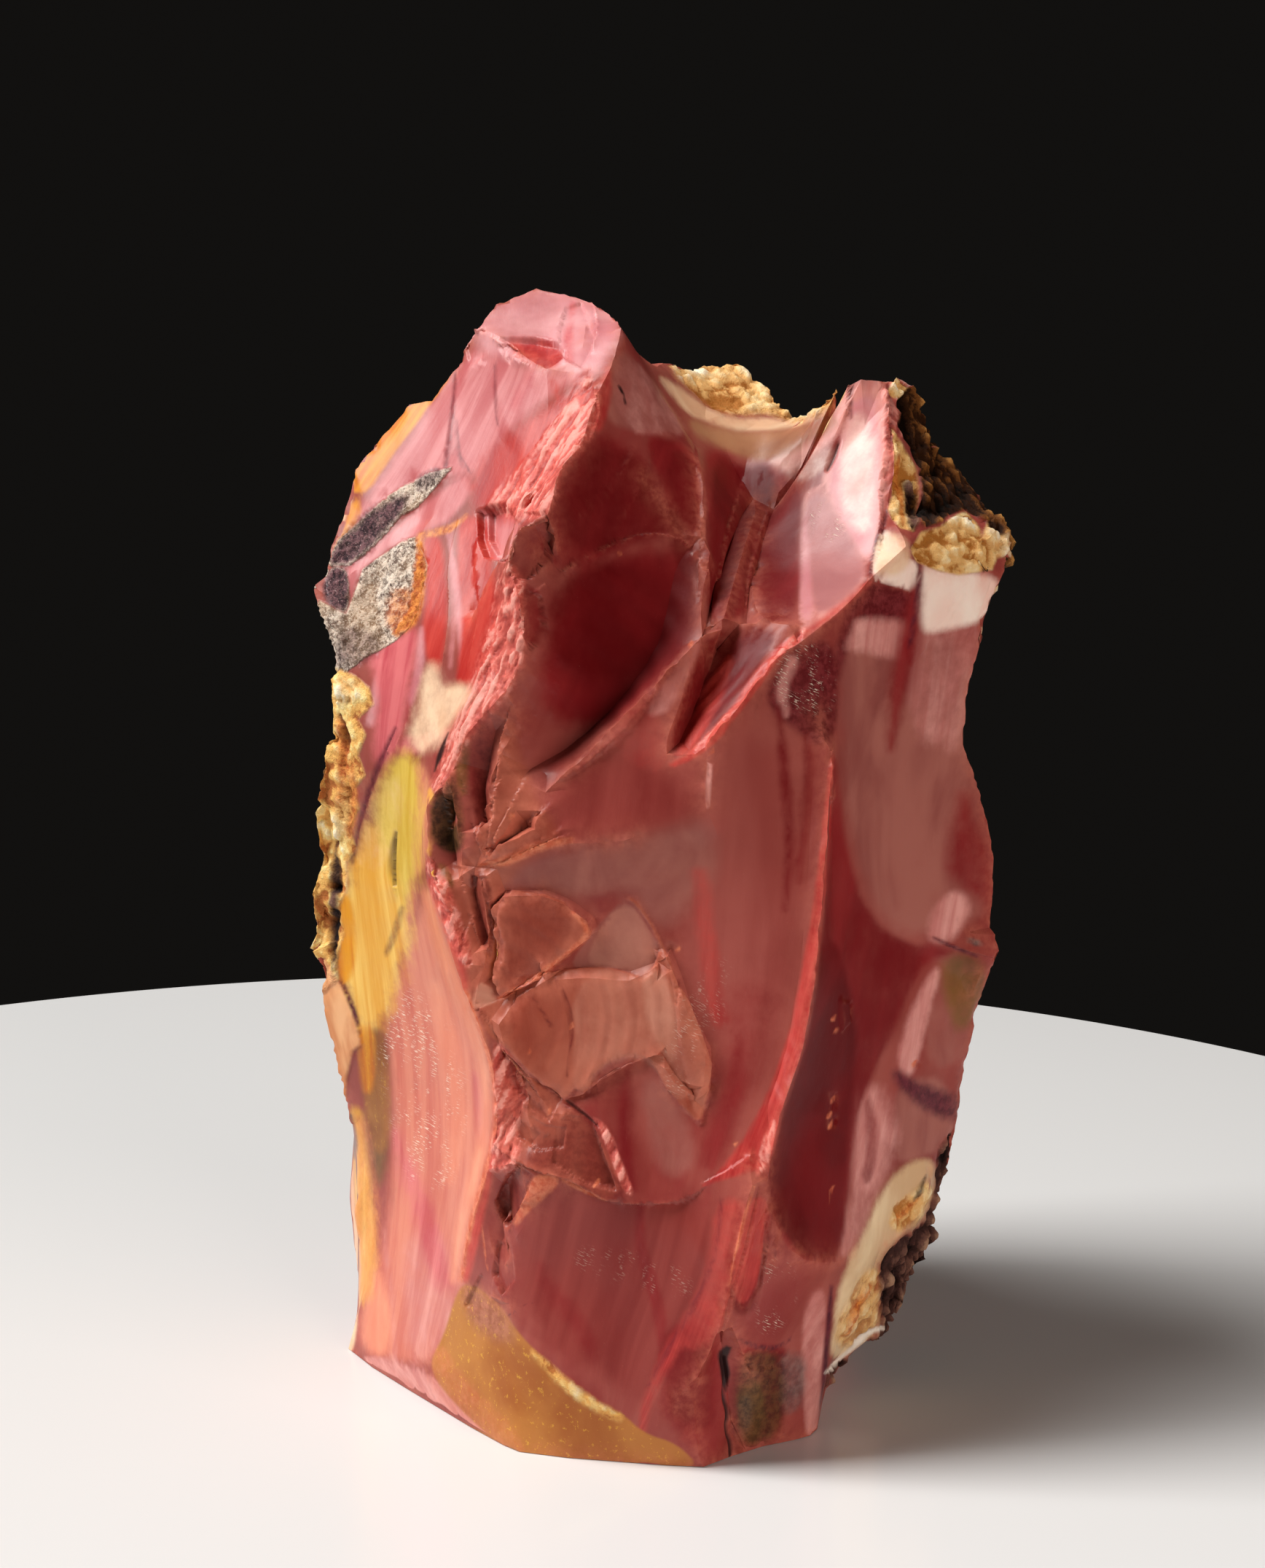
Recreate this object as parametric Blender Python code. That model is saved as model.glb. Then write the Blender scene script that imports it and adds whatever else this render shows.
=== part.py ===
"""Mookaite jasper freeform: one natural stone, flaked all round and sawn flat underneath.

The stone is drawn as a net of arrises, the sharp lines between its scars. A skin is
stretched over the net, hollow like real conchoidal scars, and the weathered crust is
roughened. Drawing lengths are in millimetres and the finished mesh is in metres.
"""

import math
import random

import bmesh
import bpy
import numpy as np
from mathutils import Vector, geometry, kdtree, noise

# ---------------------------------------------------------------- driving dimensions
MM = 0.001
EYE_BACK = 370.0          # the front lines are laid out in perspective from this far off
EYE_UP = 147.3            # and from this far above the base
HEART = Vector((3.0, 0.0, 80.0))   # inner point that every part of the skin can be seen from
LINE_STEP = 2.5           # spacing of points along an arris
REAR_LINE_STEP = 4.0      # and along the arrises behind
FRONT_STEP = 2.9          # spacing of points on the scars in front
CRUST_STEP = 2.2          # spacing where the crust is lumpy
BACK_STEP = 4.6           # and on the scars behind
HOLLOW = 1.0 / 85.0       # ordinary hollowness of a scar, one over its radius
UNDULATION = 0.22         # slow unevenness of a scar face
CRUST_DEPTH = 1.5         # roughness of the weathered crust
LEAST_RISE = 0.3          # nothing but the sawn base comes closer to the ground
SEED = 7
KNOBS = Vector((3.0, 8.0, 1.0))    # start of the finer crust noise

# ---------------------------------------------------------------- base outline
# Front part as (across, up) on the drawing sheet, where it meets the ground.
BASE_FRONT = [
    (-43.6, 1.0), (-40, -2), (-35, -5.3), (-30, -8.5), (-25, -11.7), (-20, -14.6),
    (-17.5, -15.7), (-10, -16.7), (-5, -17.1), (0, -17.5), (5, -17.9), (11, -18.2),
    (15.2, -16.5), (20, -14.9), (25, -13.8), (27.4, -13.1), (28.5, -12), (29.1, -8.5),
]
# Rear part as (x, y) on the ground, anticlockwise from above.
BASE_REAR = [(29.6, -6), (31, 6), (30.5, 17), (25, 29), (12, 38.5), (-8, 42),
             (-24, 37.5), (-36, 28), (-43, 15)]

# ---------------------------------------------------------------- arrises in front
# Each point is (across, up, depth) on the sheet; a point without depth takes it from
# the points before and after it along the line.
MAIN_RIDGE = [
    (-31.2, -2.2, -19.3), (-30.2, 0.3), (-28.8, 3), (-27.8, 6.5), (-26.4, 11.2, -25),
    (-25.8, 15), (-25, 20, -28.5), (-23.3, 25), (-22, 29.5, -31.5), (-20.9, 34),
    (-20.5, 40, -34), (-21.2, 46), (-22.3, 49.5, -34.5), (-23.3, 52.7), (-24.9, 56, -33),
    (-26.5, 61), (-28.6, 69, -29.5), (-29.8, 75), (-30.5, 80, -27.5), (-30.6, 85.3),
    (-29, 87.7), (-27.2, 90), (-26, 92, -28.5), (-24.6, 96), (-21.3, 99.7),
    (-18.7, 102.6, -32), (-16.7, 105.3), (-16, 109), (-16.2, 113.9, -33),
    (-16.9, 117.5), (-18.4, 121.7, -30), (-17.6, 125), (-16.2, 126.6), (-12.3, 128.5, -30),
    (-11.4, 131.8), (-10.4, 135.3, -26.5), (-7.2, 138.5), (-6.5, 141.7, -21), (-5, 146),
    (-3, 149.7, -14.5), (-2, 153.2), (-1.6, 155.2, -9),
]
BEVEL_TOP = [(-43.6, 1.0, 2.6), (-40, -0.4, -5.6), (-36, -0.6, -12), (-31.2, -2.2, -19.3)]
OCHRE_LEFT = [(-31.2, -2.2, -19.3), (-28.6, -5.2, -23.3), (-25, -9.2, -28.2),
              (-22, -12, -31.7), (-18.6, -14.6, -35.2), (-17.5, -15.7, -35.6)]
OCHRE_TOP = [
    (-26.4, 11.2, -25), (-24.2, 10.8), (-22.3, 9.8, -29.5), (-20.2, 7.9), (-18.3, 5, -34),
    (-17.4, 3.1), (-15, 0.5, -36.8), (-13.1, -1.3), (-10.1, -4.4, -38.8), (-5.2, -8.1, -39.9),
    (-2.6, -9), (1.7, -12.9, -40.9), (7, -14.5), (10, -16.4, -41.3), (11, -18.2, -40.7),
]
LEFT_EDGE = [
    (-43.6, 1.0, 2.6), (-42.3, 5.3, 4), (-41.7, 10.4), (-41.6, 16.7), (-42.4, 23, 7),
    (-41.8, 29.3), (-42, 34, 8), (-43, 38, 6), (-44, 44), (-45, 49.5, 5), (-46.3, 55),
    (-46, 59.3, 5), (-47.2, 63.5), (-48.1, 68, 5), (-47.7, 70.1), (-46.5, 72.5, 4),
    (-46.4, 75.6), (-45.6, 81, 3), (-46.6, 83.5), (-46.1, 88.7, 1), (-45.6, 92),
    (-43.6, 95.7, -1), (-44.2, 101), (-44.5, 104.3), (-43.1, 106, -3), (-44.2, 110),
    (-46, 114.2, -1), (-46.6, 117.8, 1), (-44.4, 121.1, 3), (-44.3, 124.3), (-41.2, 130.5, 6),
    (-40.3, 135), (-37.2, 138, 7), (-34.3, 142.4), (-32.3, 144.3, 6), (-29.1, 144.9, 4),
    (-27.5, 147.1), (-25.2, 149.7, 2), (-23.9, 153), (-22.3, 155, 0),
]
PEAK_RIM = [
    (-22.3, 155, 0), (-21.3, 156.3), (-19.6, 158.5, 2.5), (-15.4, 160), (-13.8, 160.7, 5),
    (-10.1, 160), (-6.2, 159, 3), (-2.4, 156.3, -4), (-1.6, 155.2, -9),
]
PEAK_LIP = [(-22.3, 155, 0), (-19.7, 154.4), (-16.9, 152.5, -7), (-14.6, 150.6),
            (-12.4, 149.4, -11.5), (-10.1, 149), (-7.5, 149.1, -13.5), (-7.2, 154.4, -7.5),
            (-6.2, 159, 3)]
PEAK_BEHIND = [(-1.6, 155.2, -9), (0, 152.5, -6), (2.5, 149.2, -2), (4.9, 144.3, -2),
               (6.2, 142.4, -2.5)]
CENTRE_ARRIS = [
    (6.2, 142.4, -2.5), (7.8, 140.4), (9, 136.9, -9), (9.9, 132.1, -14), (10, 127.3, -18),
    (9.9, 125.2, -20), (11, 122.7), (10.3, 118, -24), (10, 114), (10.2, 110.6, -29),
]
BOWL_LIP = [
    (-16.2, 113.9, -33), (-13.9, 115.9), (-10.4, 119.5, -27), (-9.1, 120.4),
    (-4.3, 122, -23), (-1.5, 123.2), (1.4, 124.6, -21), (4.6, 125.1), (7.4, 125.5, -20),
    (9.9, 125.2, -20),
]
UPPER_ARRIS = [(-6.5, 141.7, -21), (-2.8, 140.8, -17.5), (0, 136), (3, 132.4, -19),
               (5.2, 128.9), (7.4, 125.5, -20)]
LENS_TOP = [(10.2, 110.6, -29), (13, 111.6, -27.5), (15.6, 112.4, -26.5), (20.5, 112.6, -28),
            (22.9, 112.3, -29.5), (24.5, 109.6, -31.3)]
LENS_LEFT = [(10.2, 110.6, -29), (8.4, 105.6), (6.8, 100, -32.5), (5, 95.4),
             (5.1, 91, -35.2)]
VALLEY = [(16.7, 112.6, -25.5), (17.2, 118, -19), (18.9, 124, -10.5), (20.6, 129.2, -3),
          (23.6, 131.5, -0.5), (26.6, 134.6, 0.5), (29, 138.5, 1), (30.2, 143, -1),
          (31.6, 148.7, -4)]
SADDLE_LINE = [(6.2, 142.4, -2.5), (10, 140, 3), (13.3, 137.9, 4), (16, 133, 1.5),
               (17.6, 130.6, -1), (20.6, 129.2, -3)]
DIAGONAL = [
    (39.9, 123.8, -20), (38, 122), (34.8, 119.2, -24), (32.8, 116.7), (30, 114, -28),
    (27, 111.6), (24.5, 109.6, -31.3), (21.2, 107.6), (18.3, 104, -33.8), (15, 99.3),
    (11, 94.7, -35.8), (7.5, 91.6), (5.1, 91, -35.2),
]
PILLAR_EDGE = [(37.2, 146.8, -3), (37, 142.4), (37.9, 139.5, -9), (38, 134.2), (37, 130.7, -14),
               (37.3, 128.6), (39.6, 125), (39.9, 123.8, -20)]
RIGHT_PEAK_RIM = [(31.6, 148.7, -4), (33, 147.8), (36.1, 147.6), (37.2, 146.8, -3),
                  (38.3, 148, 1), (40.6, 147, 4)]
REAR_RIM = [(2.5, 149.2, -2), (4.6, 150.3, 12), (8.7, 149.7, 19), (12, 149.8, 22),
            (15, 149, 22), (19.6, 146.7, 19), (20.9, 145, 16), (23, 142.5, 12),
            (26.5, 143.5, 7), (29.5, 146.5, 1), (31.6, 148.7, -4)]
SHOULDER = [(40.6, 147, 4), (41.4, 144.8, 6), (43.2, 140.1, 8), (44.9, 139.2), (46, 137.2, 9),
            (47.6, 133.9, 8), (48.8, 131.3, 6), (52.1, 128.9), (53.5, 128.1, -1),
            (55.2, 124.6, -6), (53.8, 121.7), (53.9, 119.9, -9)]
LUMP_FOOT = [(39.9, 123.8, -20), (41.7, 122, -19.5), (44.7, 120.5, -17.5), (47.7, 119.8),
             (50.3, 121.2, -13), (53.9, 119.9, -9)]
RIGHT_EDGE = [
    (53.9, 119.9, -9), (52.6, 115.8, -10.5), (51.3, 113, -11.5), (51.5, 111.6),
    (50.2, 106.4, -11), (49.1, 101.6), (49, 94, -9), (50.4, 90.9), (52, 85.7, -8),
    (53.8, 78.3), (53.7, 72.3, -8), (53.3, 67), (55, 63.5, -8), (53, 59), (52, 55, -7),
    (50, 45), (49, 36.5, -6), (48, 30.5), (46.5, 25.5, -4), (46, 21), (45, 15.2, -2),
    (41, 11.6), (40.8, 8.4, 0),
]
CRUST_LIP = [(40.8, 8.4, 0), (38.5, 4.5, -7), (37, 3, -11), (35, 1.5, -15), (33, 0, -16),
             (31, -1, -17), (29.8, -2.2, -22), (29.3, -6, -27)]
CRUST_TOP = [(49, 36.5, -6), (46.5, 33, -9), (45.8, 31), (45.3, 27, -11), (43, 21, -13),
             (39, 17.5, -18), (37, 15), (36.3, 9, -19), (37, 6), (37, 3, -11)]
RED_RIDGE = [
    (29.6, 93.4, -33.5), (29.2, 87), (28.7, 78.6, -37), (28.2, 70), (27.2, 56.3, -40),
    (25.5, 47.7), (22.6, 39, -42.2), (21.2, 33), (20.3, 26, -42.2),
]
RED_FLANK = [
    (27, 93.2, -33.2), (26.4, 82), (26, 70, -37.2), (24.8, 58), (23.4, 49, -39.3), (21.3, 42),
    (18.7, 36, -40.6), (15.8, 31.5), (13, 28.7), (10, 26.8, -40.2),
]
RED_TOP = [(27, 93.2, -33.2), (28.4, 95, -33), (29.6, 93.4, -33.5)]
RED_FOOT = [(20.3, 26, -42.2), (18.2, 27, -42.9), (17.2, 24), (16.1, 18, -43.9), (15, 12),
            (13.8, 6, -43.4), (12, 0.5), (10, -3.5, -42.7), (5, -9), (1.7, -12.9, -40.9)]
LENS_SCAR_LIP = [(20.3, 26, -42.2), (20.9, 22.5), (22.2, 19.8, -41.2), (24, 17),
                 (26.2, 15.3, -38.8), (29, 14.7, -35.5), (31, 14.8, -33), (35, 17, -26),
                 (39, 17.5, -18)]
FOOT_RIGHT = [(28.5, -12, -27.9), (29.3, -6, -27), (29.7, 0, -27.6), (30, 5, -29),
              (30.4, 10, -31), (31, 14.8, -33)]
LOWER_LIP = [
    (-22, 29.5, -31.5), (-18.6, 30.4, -35), (-13.6, 28.9, -37), (-10, 28), (-7.4, 25.8, -38.2),
    (-4.2, 24.4), (-1.8, 23.9), (0, 25.2, -39), (4.5, 23.9), (9, 24.4, -40), (10, 26.8, -40.2),
    (13, 26.5, -41), (18.2, 27, -42.9),
]
HINGE = [
    (-29.8, 75, -28.7), (-26, 74.6, -29.5), (-23.4, 76.2, -30.8), (-20.1, 76), (-17.4, 77.3, -33),
    (-14.1, 79), (-10.2, 79.8, -34.6), (-4.9, 79.8), (-0.7, 80.2, -35.6), (2.6, 81.7),
    (5.9, 82.5), (8.6, 83.5), (11, 84.4, -36.8), (10.7, 87.8, -36.6), (11, 92, -36.2),
    (11, 94.7, -35.8),
]
SOFT_RIDGE = [(10.2, 110.6, -30), (6.8, 107.2), (3.5, 103.6, -32), (0.3, 100.3), (-4, 96, -33),
              (-7.3, 92.5), (-11, 89.5, -33)]
BOWL_TROUGH = [(-15, 91, -29.5), (-10, 93.8), (-6, 97, -26.5), (-2, 101), (1.5, 105.5, -24.5),
               (4, 110), (5.2, 115, -22), (6.4, 121, -20.5)]
LENS_TROUGH = [(12.4, 108.6, -24.5), (10.6, 104, -26.8), (9, 99.6, -29), (7, 95, -31.8)]
FLUTE_LEFT = [(10.7, 112, -26.5), (12.3, 118.5), (14.4, 124.6, -11), (16, 128.6, -4)]
FLUTE_RIDGE = [(13.4, 113.3, -27.5), (14.8, 118.6), (16.6, 124.6, -13.5), (18, 129, -4.5)]

# ---------------------------------------------------------------- arrises behind, in x, y, z
BACK_SPINE = [(12.5, 22.6, 150), (14, 30, 141), (10.5, 37, 128), (8, 43, 113), (1, 47.5, 95)]
BACK_LEFT_LIMB = [(1, 47.5, 95), (-8, 50, 83), (-17, 47.5, 71), (-24, 44.5, 58), (-31, 38.5, 42),
                  (-33.5, 35, 24), (-36, 28, 0)]
BACK_RIGHT_LIMB = [(1, 47.5, 95), (10, 48.5, 86), (19, 44.5, 73), (30, 39.5, 66), (38, 32, 60),
                   (46, 24, 60)]
BACK_STEM = [(19, 44.5, 73), (15, 46.5, 58), (16.5, 45, 42), (22, 38.5, 22), (25, 29, 0)]
BACK_LEFT = [(-43, 15, 0), (-45.5, 21, 18), (-44, 27, 42), (-47, 26.5, 58), (-44.5, 25, 77),
             (-43.5, 27, 94), (-38.5, 26, 111), (-34, 19, 128), (-26, 12, 146),
             (-13.9, 5, 160.8)]
BACK_RIGHT = [(30.5, 17, 0), (37, 22, 13), (42.5, 24, 30), (47, 23, 44), (46, 24, 60),
              (48.5, 20.5, 76), (46.5, 21.5, 92), (47.5, 18, 107), (45.5, 17, 122),
              (44.5, 11, 136), (41, 4, 147.1)]
BACK_LEFT_LINK = [(-17, 47.5, 71), (-27, 43, 78), (-36, 35.5, 90), (-43.5, 27, 94)]
BACK_HIGH = [(8, 43, 113), (-3, 42.5, 118), (-14, 38.5, 113), (-25, 37, 110), (-38.5, 26, 111)]
BACK_NOTCH = [(10.5, 37, 128), (20, 35.5, 124), (30, 29, 116), (40, 24.5, 113), (47.5, 18, 107)]
BACK_LOW = [(-24, 44.5, 58), (-15, 48.5, 47), (-4, 48.5, 42), (7, 49.5, 47), (15, 46.5, 58)]
BACK_FLAKE = [(16.5, 45, 42), (26, 38.5, 40), (35, 31, 33), (42.5, 24, 30)]
BACK_CHIP = [(-8, 42, 0), (-9, 45.5, 10), (-18, 43.5, 17), (-28, 39, 14), (-33.5, 35, 24)]

# ---------------------------------------------------------------- low lines on the scars
# Each is a height above the skin around it, and points (across, up) on the sheet.
LOW_LINES = [
    # hackly band beside the main ridge, and the pale facet at its foot
    (0.7, [(-5.3, 146.5), (-11.7, 142), (-16.2, 136.3), (-16.5, 133.1), (-19.1, 130.5),
           (-22.3, 129)]),
    (0.9, [(-22.3, 129), (-18.1, 129.5), (-14.6, 128.3)]),
    (0.6, [(-22.3, 129), (-22.5, 125.3), (-21.3, 123.6), (-18.9, 122.3)]),
    # ridges that fan out below the bowl
    (1.3, [(-20.6, 77.7), (-17.6, 79.6), (-14.3, 81.8), (-13.4, 84.6)]),
    (1.1, [(-22, 78.9), (-19.5, 81.5), (-17.6, 85), (-16, 89)]),
    (1.5, [(-23.6, 79.3), (-20.9, 83.6), (-19.8, 88), (-18.6, 92.7), (-16.8, 98.6)]),
    (1.5, [(-24.8, 78.8), (-24.4, 83.7), (-25.1, 87), (-26.3, 89)]),
    (-1.3, [(-16.4, 82.2), (-19.4, 79.7)]),
    (-1.4, [(-22.8, 83), (-22.3, 88), (-21.8, 94), (-21.5, 97.6)]),
    (-2.6, [(-28.6, 77), (-28.2, 81.5), (-27.6, 86)]),
    # petals under the fan
    (1.4, [(-28, 73.6), (-26.3, 70.5), (-25, 66.5), (-24, 62)]),
    (-0.8, [(-24.2, 72.6), (-22.8, 69), (-22, 65)]),
    (1.5, [(-22, 74.2), (-20.9, 71), (-20.3, 67.2), (-21, 62), (-22.4, 58.5)]),
    # shelly chips beside the ridge below the plates
    (1.2, [(-18.6, 47.6), (-15, 43.4), (-11.6, 40), (-7.6, 37.4), (-5, 34.8), (-3, 31),
           (-1.2, 27.4)]),
    (-0.8, [(-18.8, 44.4), (-17.2, 39.6), (-16.4, 34.8)]),
    (0.9, [(-17, 45), (-15, 39.6), (-13.6, 36.2), (-10.4, 35.4)]),
    (-1.5, [(-19.6, 27.2), (-19.8, 23.6), (-18.8, 20.8)]),
    (1.0, [(-15.8, 28.6), (-15, 24.6), (-17.4, 21.4), (-18.4, 17), (-19.4, 12.4)]),
    # right face: slender relief lines and the thin flake
    (0.5, [(21.3, 100), (21.9, 95), (23.2, 90), (23.6, 84)]),
    (0.6, [(29.5, 112), (29.8, 106), (29.6, 99)]),
    (0.7, [(46, 116), (44.6, 111.3), (41.9, 106), (39.9, 101)]),
    (-1.2, [(31.6, 86), (32.4, 77), (35.4, 69.5), (39, 64)]),
    (0.7, [(52, 66.5), (47, 65.2), (43, 62.5), (40.5, 55), (39.6, 47)]),
    # lower face: soft bands, the cracked corner and its ledge
    (0.9, [(13, 21.5), (10.6, 13), (8, 6), (4, -1), (-1, -6)]),
    (-2.6, [(13.9, -0.2), (14.4, -4), (14.8, -8), (14.9, -11)]),
    (0.8, [(15.6, 2.4), (19, 0.6), (23, 1.6), (26.5, 4.6)]),
    (1.0, [(20.5, 22), (20.4, 16.5), (19.2, 11), (17.6, 7.4)]),
    # left face: fold of the yellow band, and the flaky edge
    (1.0, [(-35.4, 84), (-35.6, 76), (-34.5, 71), (-34, 66), (-34.8, 58), (-36.6, 53.4)]),
    (1.0, [(-39.6, 91), (-38.4, 95.4), (-36.8, 99)]),
    (0.9, [(-26.8, 123), (-26.2, 116), (-26.4, 109), (-28, 103.6), (-31, 97.4)]),
    (0.7, [(-35, 103.6), (-34.4, 107.4), (-33.4, 110.4)]),
    # pink band between the crystal pockets, and creases above it
    (1.3, [(-41.2, 120.8), (-37, 124.3), (-33, 127.3), (-28, 131), (-24.6, 134.2),
           (-25.6, 138), (-24.6, 143), (-21.6, 148.4)]),
    (0.6, [(-19.4, 149), (-20, 144), (-19.6, 139.6), (-21.4, 134.4)]),
    (-0.8, [(-30.4, 145.4), (-33.8, 139.6), (-37, 134.6)]),
    (-1.3, [(-42.6, 92), (-43.4, 84), (-42.6, 76), (-43.2, 68), (-43.6, 61)]),
    (0.8, [(-41.6, 90), (-41.8, 82), (-41, 74), (-41.4, 66)]),
    (-1.0, [(-43.4, 59), (-42, 53.5), (-41.2, 49)]),
    # upper right: crack in the small peak and the face beside the valley
    (-0.9, [(32.4, 146), (31.2, 141.5), (29.6, 136.8)]),
    (0.8, [(21.5, 127), (20.4, 121.5), (20.6, 116)]),
]

# Shell-like plates left on the front scar: height, and outline (across, up).
PLATES = [
    (1.5, [(-19.8, 70.2), (-18.6, 72), (-13.5, 72.1), (-10, 70.8), (-6.6, 68), (-6, 66.2),
           (-9.8, 63.1), (-14.8, 59.2), (-19.6, 56.6), (-20.4, 60), (-19.3, 64.8)]),
    (1.2, [(-17, 56.6), (-12.4, 59.6), (-6.4, 60.2), (-0.4, 59.2), (3.4, 60), (5.2, 62),
           (7, 57), (8.5, 52), (11.4, 46.2), (11.2, 40.4), (10.2, 36.8), (6.4, 41),
           (3.7, 45.2), (-0.3, 47.2), (-5, 45.2), (-7.2, 42), (-10.2, 41), (-15.5, 44.9),
           (-18.8, 48.9), (-19.6, 52.6)]),
]

# ---------------------------------------------------------------- special hollows
# (across, up, depth), reach, and one over the radius; minus makes a bulge.
HOLLOWS = [
    ((-8, 112, -25), 14, 1 / 40),        # upper bowl
    ((-34, 40, -12), 24, 1 / 120),       # long left scar
    ((-4, 10, -39), 15, 1 / 32),         # lower scar
    ((-14, -8, -37), 9, -1 / 70),        # flat ochre facet
    ((-7, 131, -20), 9, 1 / 28),         # dark scar beside the peak
    ((3, 140, -10), 8, 1 / 40),          # shadowed flank of the peak
    ((14, 104, -31), 8, 1 / 20),         # lens scar
    ((-12, 154, -3), 7, 1 / 18),         # scoop in the peak
    ((-15, 145, -10), 9, 1 / 40),        # lit scar under the scoop
    ((27, 30, -36), 12, 1 / 50),         # lens-shaped scar at lower right
    ((-30, 112, -15), 12, -1 / 60),      # swollen face under the crust pockets
    ((28, 124, -14), 12, 1 / 60),        # lilac face
    ((8, 60, -38), 20, -1 / 130),        # the broad front face is nearly flat
    ((45, 124, -14), 7, -1 / 12),        # knobbly shoulder
    ((20, 8, -38), 7, 1 / 40),           # rippled face over the foot
    ((36, 8, -24), 6, -1 / 20),          # crusted swelling over the foot
]

# ---------------------------------------------------------------- weathered crust
# (x, y, z), reach, and strength of the roughness.
CRUST = [
    ((-47, 8, 70), 13, 1.0), ((-46, 10, 85), 12, 1.0), ((-45, 8, 98), 9, 0.8),
    ((-44, 6, 116), 9, 1.0), ((-38, 10, 136), 8, 0.8), ((-45, 22, 60), 14, 0.8),
    ((12, 18, 147), 12, 1.1), ((22, 8, 141), 8, 0.9),
    ((44, 4, 134), 11, 1.3), ((49, -6, 124), 8, 1.2), ((41, -10, 131), 6, 0.9),
    ((40, -6, 10), 11, 1.2), ((45, 2, 22), 10, 1.0), ((36, 8, 8), 12, 1.0),
    ((44, 18, 120), 15, 1.0), ((38, 25, 122), 14, 0.8), ((-40, 30, 68), 17, 0.8),
    ((-39, 30, 48), 14, 0.7), ((33, 30, 14), 14, 0.7),
]
# Crystal-lined pockets sunk into the upper left: outline centre, reach, depth.
POCKETS = [((-34.5, 130.5, -4), 5.5, 1.3), ((-41.5, 124, 2), 4.5, 1.2), ((-37, 116, -6), 6.5, 1.0),
           ((-39, 109.5, -5), 4.0, 0.9)]


# ---------------------------------------------------------------- drawing sheet
def seen(across, up, depth):
    """The point that lies at this depth behind a place on the drawing sheet."""
    grow = (EYE_BACK + depth) / EYE_BACK
    return Vector((across * grow, depth, EYE_UP + (up - EYE_UP) * grow))


def on_ground(across, up):
    grow = EYE_UP / (EYE_UP - up)
    return Vector((across * grow, EYE_BACK * (grow - 1.0), 0.0))


def with_depths(points):
    """Fills in the depths that a front line leaves out, by distance along the sheet."""
    run = [0.0]
    for before, after in zip(points, points[1:]):
        run.append(run[-1] + math.dist(before[:2], after[:2]))
    known = [i for i, point in enumerate(points) if len(point) > 2]
    depths = np.interp(run, [run[i] for i in known], [points[i][2] for i in known])
    return [seen(point[0], point[1], float(depth)) for point, depth in zip(points, depths)]


def stepped(corners, step=LINE_STEP):
    """The corners of a line with evenly spaced points put in between."""
    out = [corners[0]]
    for start, end in zip(corners, corners[1:]):
        count = max(1, round((end - start).length / step))
        out += [start.lerp(end, i / count) for i in range(1, count + 1)]
    return out


def flat(point):
    """Direction from the heart, spread on a plane with straight up at its middle."""
    way = (point - HEART).normalized()
    return Vector((way.x, way.y)) / (1.0 + way.z)


# ---------------------------------------------------------------- net of arrises
FRONT_LINES = [
    MAIN_RIDGE, BEVEL_TOP, OCHRE_LEFT, OCHRE_TOP, LEFT_EDGE, PEAK_RIM, PEAK_LIP, PEAK_BEHIND,
    CENTRE_ARRIS, BOWL_LIP, UPPER_ARRIS, LENS_TOP, LENS_LEFT, VALLEY, SADDLE_LINE, DIAGONAL,
    PILLAR_EDGE, RIGHT_PEAK_RIM, REAR_RIM, SHOULDER, LUMP_FOOT, RIGHT_EDGE, CRUST_LIP,
    CRUST_TOP, RED_RIDGE, RED_FLANK, RED_TOP, RED_FOOT, LENS_SCAR_LIP, FOOT_RIGHT, LOWER_LIP,
    HINGE, SOFT_RIDGE, BOWL_TROUGH, LENS_TROUGH, FLUTE_LEFT,
    FLUTE_RIDGE,
]
BACK_LINES = [BACK_SPINE, BACK_LEFT_LIMB, BACK_RIGHT_LIMB, BACK_STEM, BACK_LEFT, BACK_RIGHT,
              BACK_LEFT_LINK, BACK_HIGH, BACK_NOTCH, BACK_LOW, BACK_FLAKE, BACK_CHIP]


class Net:
    """Points of the skin, with the straight pieces of arris that join them."""

    def __init__(self):
        self.points = []
        self.fixed = []
        self.lift = []
        self.edges = []
        self.places = {}

    def add(self, point, fixed=True, lift=0.0):
        key = tuple(round(c * 2.0) for c in flat(point) * 60.0)
        if key not in self.places:
            self.places[key] = len(self.points)
            self.points.append(point)
            self.fixed.append(fixed)
            self.lift.append(lift)
        return self.places[key]

    def line(self, points, fixed=True, lift=0.0, closed=False):
        found = [self.add(point, fixed, lift) for point in points]
        if closed:
            found.append(found[0])
        self.edges += [(a, b) for a, b in zip(found, found[1:]) if a != b]
        return found


def base_outline():
    corners = [on_ground(*place) for place in BASE_FRONT]
    corners += [Vector((x, y, 0.0)) for x, y in BASE_REAR]
    return stepped(corners + corners[:1], 3.0)[:-1]


def major_lines(net):
    base = net.line(base_outline(), closed=True)[:-1]
    for line in FRONT_LINES:
        net.line(stepped(with_depths(line)))
    for line in BACK_LINES:
        net.line(stepped([Vector(point) for point in line], REAR_LINE_STEP))
    return base


def near_depth(tree, net, across, up):
    """Depth of the arrises round a place on the sheet, to find a low line's direction."""
    spot = seen(across, up, -32.0 if abs(across) < 38 else -5.0)
    found = tree.find_n(spot, 5)
    weights = [1.0 / (distance + 1.0) ** 2 for _, _, distance in found]
    return sum(net.points[i].y * w for (_, i, _), w in zip(found, weights)) / sum(weights)


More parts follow.
